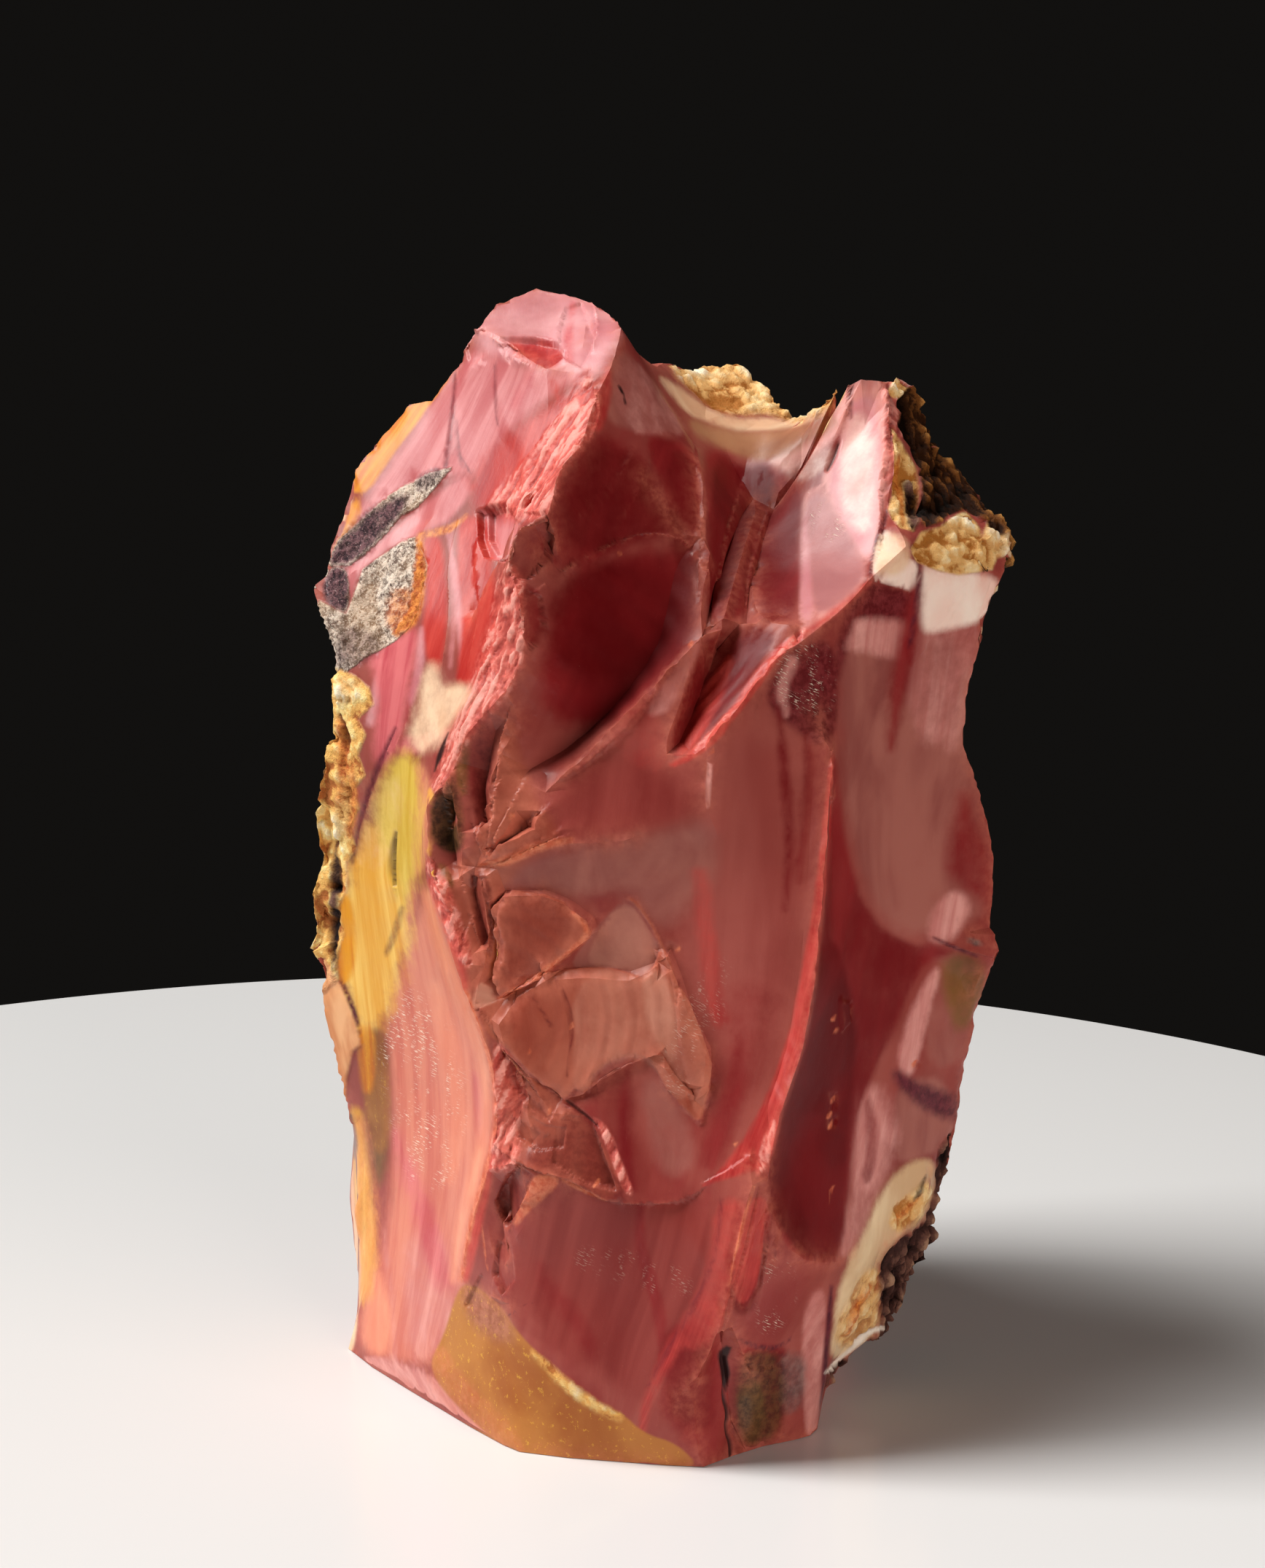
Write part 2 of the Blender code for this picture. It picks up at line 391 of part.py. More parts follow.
def minor_lines(net, tree):
    for lift, places in LOW_LINES:
        spots = [seen(a, b, near_depth(tree, net, a, b)) for a, b in places]
        net.line(stepped(spots), fixed=False, lift=lift)
    for lift, places in PLATES:
        middle = Vector((sum(a for a, _ in places), sum(b for _, b in places))) / len(places)
        for grow, height in ((1.0, lift), (1.09, 0.05)):
            ring = [middle + (Vector(place) - middle) * grow for place in places]
            spots = [seen(a, b, near_depth(tree, net, a, b)) for a, b in ring]
            net.line(stepped(spots + spots[:1])[:-1], False, height, True)


# ---------------------------------------------------------------- filling the scars
def tree_of(points):
    tree = kdtree.KDTree(len(points))
    for i, point in enumerate(points):
        tree.insert(point, i)
    tree.balance()
    return tree


def crust_at(point):
    """One on the weathered rind, fading to nothing on fresh scars."""
    found = 0.0
    for spot, reach, amount in CRUST:
        t = min(1.0, max(0.0, 1.6 - 1.6 * (point - Vector(spot)).length / reach))
        found = max(found, amount * t * t * (3.0 - 2.0 * t))
    return found


def fill_spacing(point):
    if crust_at(point) > 0.5:
        return CRUST_STEP
    if point.y < -28.0 and -22.0 < point.x < 12.0 and 34.0 < point.z < 76.0:
        return 0.8 * FRONT_STEP
    t = min(1.0, max(0.0, (point.y + 4.0) / 22.0))
    return FRONT_STEP + (BACK_STEP - FRONT_STEP) * t * t * (3.0 - 2.0 * t)


def under_base(way, outline):
    """Whether this direction from the heart leaves through the sawn base."""
    if way.z > -0.2:
        return False
    foot = HEART - way * (HEART.z / way.z)
    inside = False
    for a, b in zip(outline, outline[1:] + outline[:1]):
        if (a.y > foot.y) != (b.y > foot.y):
            if foot.x < a.x + (b.x - a.x) * (foot.y - a.y) / (b.y - a.y):
                inside = not inside
    return inside


def fill_points(net, outline):
    """Evenly scattered points between the arrises, at a rough first distance."""
    ways = tree_of([(point - HEART).normalized() for point in net.points])
    lines = tree_of(net.points)
    count = 36000
    golden = math.pi * (3.0 - math.sqrt(5.0))
    order = list(range(count))
    random.Random(SEED).shuffle(order)
    cells = {}
    kept = []
    for i in order:
        z = 1.0 - (2.0 * i + 1.0) / count
        r = math.sqrt(1.0 - z * z)
        way = Vector((r * math.cos(golden * i), r * math.sin(golden * i), z))
        found = ways.find_n(way, 8)
        weights = [1.0 / (distance + 0.02) ** 2 for _, _, distance in found]
        reach = sum((net.points[j] - HEART).length * w for (_, j, _), w in zip(found, weights))
        point = HEART + way * (reach / sum(weights))
        if under_base(way, outline):
            continue
        gap = fill_spacing(point)
        if lines.find(point)[2] < 0.62 * gap:
            continue
        cell = tuple(int(c // BACK_STEP) for c in point)
        around = [p for a in (-1, 0, 1) for b in (-1, 0, 1) for c in (-1, 0, 1)
                  for p in cells.get((cell[0] + a, cell[1] + b, cell[2] + c), ())]
        if any((p - point).length < gap for p in around):
            continue
        cells.setdefault(cell, []).append(point)
        kept.append(point)
    return kept


def triangulate(net, base):
    """Joins all points by triangles that keep to the arrises. Returns points and faces."""
    result = geometry.delaunay_2d_cdt(
        [flat(point) for point in net.points], net.edges, [], 0, 1e-5, True)
    spread, _, faces, origins, _, _ = result
    points, fixed, lift, born = [], [], [], {}
    for i, place in enumerate(spread):
        if origins[i]:
            j = origins[i][0]
            born[j] = i
            points.append(net.points[j])
            fixed.append(net.fixed[j])
            lift.append(net.lift[j])
            continue
        # two lines crossed here: stand on the nearest point of either
        near = min(range(len(net.points)),
                   key=lambda j: (flat(net.points[j]) - place).length_squared)
        reach = (net.points[near] - HEART).length
        size = place.length_squared
        way = Vector((2.0 * place.x, 2.0 * place.y, 1.0 - size)) / (1.0 + size)
        points.append(HEART + way * reach)
        fixed.append(net.fixed[near])
        lift.append(net.lift[near])
    base = [born[j] for j in base]
    below = set(base)
    outline = [points[i] for i in base]
    skin = []
    for face in faces:
        middle = sum(((points[i] - HEART).normalized() for i in face), Vector())
        if not (below.issuperset(face) and under_base(middle.normalized(), outline)):
            skin.append(tuple(face))
    return points, fixed, lift, skin, base


# ---------------------------------------------------------------- stretched skin
class Skin:
    """Finds the distance of every free point so that scars are flat, or hollow by a set
    amount. It works on one over the distance, for which a flat face is a plain average."""

    def __init__(self, points, faces):
        reach = np.array([(point - HEART)[:] for point in points])
        self.far = np.linalg.norm(reach, axis=1)
        self.way = reach / self.far[:, None]
        tri = np.array(faces)
        tri = tri[:, ::-1] if self._signed(tri) < 0 else tri
        self.faces = tri
        a, b, c = (self.way[tri[:, k]] for k in range(3))
        heads, tails, weights = [], [], []
        area = np.zeros(len(points))
        for p, q, r, i, j in ((a, b, c, 0, 1), (b, c, a, 1, 2), (c, a, b, 2, 0)):
            u, v = p - r, q - r
            cross = np.maximum(np.linalg.norm(np.cross(u, v), axis=1), 1e-12)
            weight = np.clip(0.5 * (u * v).sum(1) / cross, 0.02, 12.0)
            heads += [tri[:, i], tri[:, j]]
            tails += [tri[:, j], tri[:, i]]
            weights += [weight, weight]
            area += np.bincount(tri[:, i], cross / 6.0, len(points))
        self.heads, self.tails = np.concatenate(heads), np.concatenate(tails)
        self.weights, self.area = np.concatenate(weights), area
        pull = np.stack([self._sum(self.way[:, k]) for k in range(3)], axis=1)
        self.load = np.linalg.norm(pull, axis=1)

    def _signed(self, tri):
        a, b, c = (self.way[tri[:, k]] for k in range(3))
        return np.sign((np.cross(b - a, c - a) * (a + b + c)).sum(1)).sum()

    def _sum(self, values):
        return np.bincount(self.heads, self.weights * values[self.tails], len(self.way))

    def stretch(self, fixed, hollow, rounds=500):
        """Conjugate gradients on the free points; the fixed ones hold the skin."""
        free = ~fixed
        bend = 1.0 / self.far
        held = np.where(fixed, bend, 0.0)
        target = (self._sum(held) + 2.0 * self.area * hollow) * free
        guess = bend * free

        def applied(values):
            return (self.load * values - self._sum(values)) * free

        rest = target - applied(guess)
        step = rest.copy()
        size = rest @ rest
        for _ in range(rounds):
            image = applied(step)
            amount = size / (step @ image)
            guess += amount * step
            rest -= amount * image
            after = rest @ rest
            if after < 1e-20:
                break
            step = rest + (after / size) * step
            size = after
        self.far = 1.0 / np.where(fixed, bend, guess)

    def places(self):
        return self.way * self.far[:, None] + np.array(HEART)


def hollowness(places):
    out = np.full(len(places), HOLLOW)
    for spot, reach, amount in HOLLOWS:
        gap = np.linalg.norm(places - np.array(seen(*spot)), axis=1)
        out += amount * np.exp(-(gap / reach) ** 2)
    return out


def smooth_step(t):
    t = np.clip(t, 0.0, 1.0)
    return t * t * (3.0 - 2.0 * t)


def roughen(skin, fixed):
    """Slow unevenness on the scars, knobs and pits on the crust, and sunken pockets."""
    places = skin.places()
    for i, place in enumerate(places):
        spot = Vector(place)
        crust = crust_at(spot)
        if place[2] < 0.01:
            continue
        grain = 1.2 * noise.noise(spot * 0.17) + 0.9 * noise.noise(spot * 0.36 + KNOBS)
        slow = noise.noise(spot * 0.055 + Vector((9.0, 2.0, 5.0)))
        foot = min(1.0, place[2] / 6.0)
        hold = 0.35 if fixed[i] else 1.0
        skin.far[i] += foot * (CRUST_DEPTH * crust * grain + hold * UNDULATION * slow)
    for spot, reach, depth in POCKETS:
        gap = np.linalg.norm(places - np.array(seen(*spot)), axis=1)
        skin.far -= depth * smooth_step(2.2 - 2.2 * gap / reach)


# ---------------------------------------------------------------- the stone
def stone_skin():
    net = Net()
    base = major_lines(net)
    minor_lines(net, tree_of(net.points))
    for point in fill_points(net, [net.points[i] for i in base]):
        net.add(point, fixed=False)
    points, fixed, lift, faces, base = triangulate(net, base)
    skin = Skin(points, faces)
    fixed, lift = np.array(fixed), np.array(lift)
    skin.stretch(fixed, HOLLOW)
    hollow = hollowness(skin.places())
    skin.stretch(fixed, hollow)
    low = (~fixed) & (lift != 0.0)
    skin.far = skin.far + np.where(low, lift, 0.0)
    skin.stretch(fixed | low, hollow)
    roughen(skin, fixed)
    return skin, base


def centred(places):
    low, high = places.min(axis=0), places.max(axis=0)
    places[:, :2] -= (low[:2] + high[:2]) / 2.0
    return places


def stone_mesh():
    skin, base = stone_skin()
    places = skin.places()
    places[:, 2] = np.maximum(places[:, 2], LEAST_RISE)
    places[np.array(base), 2] = 0.0
    places = centred(places) * MM
    mesh = bmesh.new()
    corners = [mesh.verts.new(place) for place in places]
    for face in skin.faces:
        mesh.faces.new([corners[i] for i in face])
    under = mesh.faces.new([corners[i] for i in base])
    used = [corner for corner in mesh.verts if not corner.link_faces]
    bmesh.ops.delete(mesh, geom=used, context="VERTS")
    bmesh.ops.triangulate(mesh, faces=[under])
    bmesh.ops.recalc_face_normals(mesh, faces=mesh.faces[:])
    data = bpy.data.meshes.new("stone")
    mesh.to_mesh(data)
    mesh.free()
    return data


def jasper():
    """Opaque, fine-grained silica with a waxy polish on fresh scars."""
    material = bpy.data.materials.new("mookaite_jasper")
    material.use_nodes = True
    shader = material.node_tree.nodes["Principled BSDF"]
    shader.inputs["Base Color"].default_value = (0.42, 0.15, 0.13, 1.0)
    shader.inputs["Roughness"].default_value = 0.38
    shader.inputs["Specular IOR Level"].default_value = 0.5
    return material


def build():
    for thing in list(bpy.data.objects):
        bpy.data.objects.remove(thing)
    home = bpy.data.collections.new("mookaite_jasper_freeform")
    bpy.context.scene.collection.children.link(home)
    stone = bpy.data.objects.new("stone", stone_mesh())
    stone.data.materials.append(jasper())
    home.objects.link(stone)


build()
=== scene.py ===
import math

import bpy
import numpy as np
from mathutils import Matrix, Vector, kdtree, noise


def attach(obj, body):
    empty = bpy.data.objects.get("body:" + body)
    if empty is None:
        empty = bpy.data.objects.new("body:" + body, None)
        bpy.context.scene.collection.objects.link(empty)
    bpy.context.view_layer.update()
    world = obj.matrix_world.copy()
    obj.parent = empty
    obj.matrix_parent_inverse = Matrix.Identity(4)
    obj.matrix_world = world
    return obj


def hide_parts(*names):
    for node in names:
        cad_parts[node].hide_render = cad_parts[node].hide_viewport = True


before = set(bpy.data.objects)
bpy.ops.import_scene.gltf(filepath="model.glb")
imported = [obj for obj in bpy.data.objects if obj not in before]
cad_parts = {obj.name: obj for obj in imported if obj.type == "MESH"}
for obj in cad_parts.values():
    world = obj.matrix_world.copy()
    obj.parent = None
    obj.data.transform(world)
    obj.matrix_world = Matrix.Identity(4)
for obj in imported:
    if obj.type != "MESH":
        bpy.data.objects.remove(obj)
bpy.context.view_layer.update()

# ------------------------------------------------------------------ the broken body
# One upright piece of jasper, broken all round by shell-shaped fractures and cut off flat
# underneath. Its skin is the solid's own, rounded between the arrises and divided finely,
# most of all where flake scars, plates and crust have small steps.
MM = 0.001
ARRIS_TURN = math.radians(20)      # a sharper turn stays a sharp arris
ON_THE_GROUND = 0.01               # a point lower than this belongs to the cut base


def welded(mesh):
    """Points and triangles of a mesh in millimetres, with points that coincide made one."""
    mesh.calc_loop_triangles()
    points = np.empty(len(mesh.vertices) * 3)
    mesh.vertices.foreach_get("co", points)
    faces = np.empty(len(mesh.loop_triangles) * 3, np.int32)
    mesh.loop_triangles.foreach_get("vertices", faces)
    points, faces = points.reshape(-1, 3) / MM, faces.reshape(-1, 3)
    _, first, index = np.unique(np.round(points * 200), axis=0, return_index=True,
                                return_inverse=True)
    faces = index.reshape(-1)[faces]
    whole = ((faces[:, 0] != faces[:, 1]) & (faces[:, 1] != faces[:, 2])
             & (faces[:, 2] != faces[:, 0]))
    return points[first], faces[whole]


def unit(vectors):
    return vectors / np.maximum(np.linalg.norm(vectors, axis=-1, keepdims=True), 1e-12)


def face_normals(points, faces):
    a, b, c = (points[faces[:, i]] for i in range(3))
    return np.cross(b - a, c - a)


def point_normals(points, faces):
    """Smooth normals, each face counting by its area."""
    total = np.zeros_like(points)
    across = face_normals(points, faces)
    for i in range(3):
        np.add.at(total, faces[:, i], across)
    return unit(total)


def turn_at(beside, facets):
    """How far the skin turns at each edge, between the two faces beside it."""
    return np.arccos(np.clip((facets[beside[:, 0]] * facets[beside[:, 1]]).sum(axis=1), -1, 1))


def keyed(ends, count):
    """One number for each edge, the same from either end."""
    return ends.min(axis=1).astype(np.int64) * count + ends.max(axis=1)


def edges_of(faces, count):
    """Each edge once, the three edges of each face, and the two corners facing each edge."""
    ends = np.concatenate([faces[:, [0, 1]], faces[:, [1, 2]], faces[:, [2, 0]]])
    keys, index = np.unique(keyed(ends, count), return_inverse=True)
    index = index.reshape(-1)
    corner = np.argsort(index, kind="stable").reshape(-1, 2)
    beside = corner % len(faces)
    facing = faces[beside, (corner // len(faces) + 2) % 3]
    edges = np.stack([keys // count, keys % count], axis=1)
    return edges, index.reshape(3, -1).T, beside, facing


def gathered(points, edges, count):
    total = np.zeros((count, 3))
    np.add.at(total, edges[:, 0], points[edges[:, 1]])
    np.add.at(total, edges[:, 1], points[edges[:, 0]])
    return total


def divided(points, faces, sharp_keys, flagged, rounding=True):
    """Halves the edges at flagged points and joins up the triangles beside them. With
    rounding, scars round off while arrises stay lines and their ends stay put."""
    count = len(points)
    edges, of_face, _, facing = edges_of(faces, count)
    sharp = np.isin(keyed(edges, count), sharp_keys)
    cut = flagged[edges].any(axis=1)
    middles, kept = points[edges].mean(axis=1), points
    if rounding:
        soft = 0.75 * middles + 0.125 * points[facing].sum(axis=1)
        middles = np.where(sharp[:, None], middles, soft)
        valence = np.bincount(edges.reshape(-1), minlength=count)
        pull = np.where(valence == 3, 3.0 / 16.0, 3.0 / (8.0 * valence))[:, None]
        kept = (1.0 - pull * valence[:, None]) * points + pull * gathered(points, edges, count)
        lines = edges[sharp]
        meeting = np.bincount(lines.reshape(-1), minlength=count)[:, None]
        along = 0.75 * points + 0.125 * gathered(points, lines, count)
        kept = np.where(meeting == 2, along, np.where(meeting > 2, points, kept))
    index = np.cumsum(cut) - 1 + count
    marks = cut[of_face]
    number = marks.sum(axis=1)
    out = [faces[number == 0]]
    for turn in range(3):
        order = [turn, (turn + 1) % 3, (turn + 2) % 3]
        first, second, third = (marks[:, i] for i in order)
        a, b, c = (faces[:, i] for i in order)
        ab, bc, ca = (index[of_face[:, i]] for i in order)
        one = first & ~second & ~third
        two = first & second & ~third
        for chosen, corners in ((one, (a, ab, c)), (one, (ab, b, c)), (two, (ab, b, bc)),
                                (two, (a, ab, bc)), (two, (a, bc, c))):
            out.append(np.stack(corners, axis=1)[chosen])
        if turn == 0:
            for corners in ((a, ab, ca), (ab, b, bc), (ca, bc, c), (ab, bc, ca)):
                out.append(np.stack(corners, axis=1)[number == 3])
    ends, new = edges[sharp & cut], index[sharp & cut]
    halves = [np.stack([ends[:, i], new], axis=1) for i in (0, 1)]
    points = np.concatenate([kept, middles[cut]])
    lines = np.concatenate([edges[sharp & ~cut], *halves])
    return points, np.concatenate(out), keyed(lines, len(points))


skin_points, skin_faces = welded(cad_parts["stone"].data)
skin_edges, _, beside, _ = edges_of(skin_faces, len(skin_points))
turn = turn_at(beside, unit(face_normals(skin_points, skin_faces)))
on_base = (skin_points[skin_edges][:, :, 2] < ON_THE_GROUND).all(axis=1)
sharp_keys = keyed(skin_edges[(turn > ARRIS_TURN) | on_base], len(skin_points))
everywhere = np.ones(len(skin_points), bool)
points, faces, sharp_keys = divided(skin_points, skin_faces, sharp_keys, everywhere)

# Lines are drawn on an upright sheet through the stone's middle, in millimetres across and
# up, as they look from the front; lines for the rear are drawn square on, in x and z.
EYE_BACK, EYE_UP = 370.0, 147.3    # the front is looked at from this far before and above
SHEET_MIDDLE = np.array((2.6604, 3.0510, 0.0))
FAR_OUTSIDE = -6.0
ROUND_THE_EDGE, FADE = 0.12, 0.2   # the front's marks fade out as the skin turns past the eye
BRIGHT_SIDE, DARK_SIDE = 0.28, 0.10    # breadth of the light along a raised and a low edge
SCAR_EDGE = 0.22
FAINT_STEP, LESS_NEAR = 0.4, 0.25  # a lower step counts as further off, so it gets a coarser skin


def on_sheet(points):
    spots = points + SHEET_MIDDLE
    near = 1.0 + spots[:, 1] / EYE_BACK
    return np.stack([spots[:, 0] / near, EYE_UP + (spots[:, 2] - EYE_UP) / near], axis=1)


def towards_eye(points, normals):
    eye = np.array((0.0, -EYE_BACK, EYE_UP)) - SHEET_MIDDLE
    return (normals * unit(eye - points)).sum(axis=1)


def rounded(line, closed):
    """The line with its corners cut twice."""
    line = np.array(line, float)
    for _ in range(2):
        ahead = np.roll(line, -1, axis=0) if closed else line[1:]
        here = line if closed else line[:-1]
        pairs = np.stack([0.75 * here + 0.25 * ahead, 0.25 * here + 0.75 * ahead], axis=1)
        cut = pairs.reshape(-1, line.shape[1])
        line = cut if closed else np.concatenate([line[:1], cut, line[-1:]])
    return line


def distances(spots, line, closed):
    """How far each spot is from the line, and for a closed line whether it is inside."""
    ends = np.roll(line, -1, axis=0) if closed else line[1:]
    least = np.full(len(spots), 1e9)
    inside = np.zeros(len(spots), bool)
    for start, end in zip(line, ends):
        run = (end - start)[:2]
        along = np.clip((spots - start[:2]) @ run / max(run @ run, 1e-9), 0, 1)
        gap = np.linalg.norm(spots - start[:2] - along[:, None] * run, axis=1)
        if line.shape[1] > 2:
            gap = gap - 0.5 * (start[2] + along * (end[2] - start[2]))
        least = np.minimum(least, gap)
        if closed:
            cross = (start[1] > spots[:, 1]) != (end[1] > spots[:, 1])
            at = start[0] + (spots[:, 1] - start[1]) * run[0] / (run[1] if run[1] else 1e-9)
            inside ^= cross & (spots[:, 0] < at)
    return np.where(inside, -least, least) if closed else least


class Marks:
    """Where each colour or flaw lies on the skin: one number for each point, zero at its
    border and growing inwards, counted in the softness of that border."""

    def __init__(self, points, normals):
        self.count = len(points)
        self.front = np.clip((towards_eye(points, normals) + ROUND_THE_EDGE) / FADE, 0, 1)
        self.sheets = {"front": (on_sheet(points), self.front),
                       "rear": (points[:, [0, 2]], 1.0 - self.front)}
        self.fields = {}
        self.lift = np.zeros(self.count)
        self.lines = np.zeros(self.count)
        self.close = np.full(self.count, 9.0)

    def near(self, line, margin, sheet="front"):
        """The points about a line on a sheet, their spots there and their share of that sheet."""
        spots, share = self.sheets[sheet]
        low, high = line[:, :2].min(axis=0) - margin, line[:, :2].max(axis=0) + margin
        chosen = np.nonzero(((spots > low) & (spots < high)).all(axis=1) & (share > 0))[0]
        return chosen, spots[chosen], share[chosen]

    def lay(self, name, line, soft=0.5, closed=True, most=6.0, sheet="front", sharp=False):
        """A patch where the line is closed, or else a stroke of the width given third."""
        line = np.array(line, float) if sharp else rounded(line, closed)
        margin = 6.0 * soft + (0 if closed or line.shape[1] < 3 else line[:, 2].max() / 2)
        chosen, spots, share = self.near(line, margin, sheet)
        value = np.minimum(-distances(spots, line, closed) / soft, most)
        value = FAR_OUTSIDE + (np.maximum(value, FAR_OUTSIDE) - FAR_OUTSIDE) * share
        field = self.fields.setdefault(name, np.full(self.count, FAR_OUTSIDE))
        field[chosen] = np.maximum(field[chosen], value)

    def patch(self, name, line, soft=0.5, most=6.0, **more):
        self.lay(name, line, soft, True, most, **more)

    def stroke(self, name, line, soft=0.5, most=6.0, **more):
        self.lay(name, line, soft, False, most, **more)

    def edge(self, chosen, share, shine, gap):
        """Notes how strong an edge's painted highlight is, and how near the edge is to each point in front.
        """
        self.lines[chosen] = np.maximum(self.lines[chosen], shine)
        self.close[chosen] = np.minimum(self.close[chosen], gap + 3.0 * (share < 0.5))

    def lip(self, line, height, fade, shine=1.0):
        """A step along an open line: raised on the line's left, easing off away from it."""
        line = rounded(line, False)
        chosen, spots, share = self.near(line, 4 * fade)
        gap, left = np.full(len(spots), 1e9), np.zeros(len(spots), bool)
        place, before = np.zeros(len(spots)), 0.0
        for start, end in zip(line, line[1:]):
            run = end - start
            long = np.linalg.norm(run)
            along = np.clip((spots - start) @ run / long ** 2, 0, 1)
            away = np.linalg.norm(spots - start - along[:, None] * run, axis=1)
            side = run[0] * (spots[:, 1] - start[1]) > run[1] * (spots[:, 0] - start[0])
            closer = away < gap
            gap, left = np.where(closer, away, gap), np.where(closer, side, left)
            place, before = np.where(closer, before + along * long, place), before + long
        ease = np.clip(np.minimum(place, before - place) / (0.2 * before), 0, 1) * share
        self.lift[chosen] += height * ease * np.exp(-gap / fade) * left
        # the painted highlight along the step, broader on the raised side than on the low side
        shown = shine * ease * np.exp(-gap / np.where(left, BRIGHT_SIDE, DARK_SIDE))
        self.edge(chosen, share, shown, gap + (LESS_NEAR if height < FAINT_STEP else 0.0))

    def scoop(self, line, heading, slope, shine=0.4):
        """A small flake scar: a slanting facet that is level at one side and deep at the other."""
        line = np.array(line, float)
        chosen, spots, share = self.near(line, 1.0)
        inward = -distances(spots, line, True)
        way = np.array((math.cos(math.radians(heading)), math.sin(math.radians(heading))))
        depth = slope * np.maximum(spots @ way - (line @ way).min(), 0)
        t = np.clip(inward / 0.25 + 0.5, 0, 1)
        self.lift[chosen] -= depth * t * share
        gap = np.abs(inward)
        self.edge(chosen, share, shine * share * np.exp(-gap / SCAR_EDGE), gap)

    def amount(self, name):
        """From nothing outside to one inside, smoothly over the border."""
        t = np.clip(0.5 + 0.5 * self.fields[name], 0, 1)
        return t * t * (3 - 2 * t)


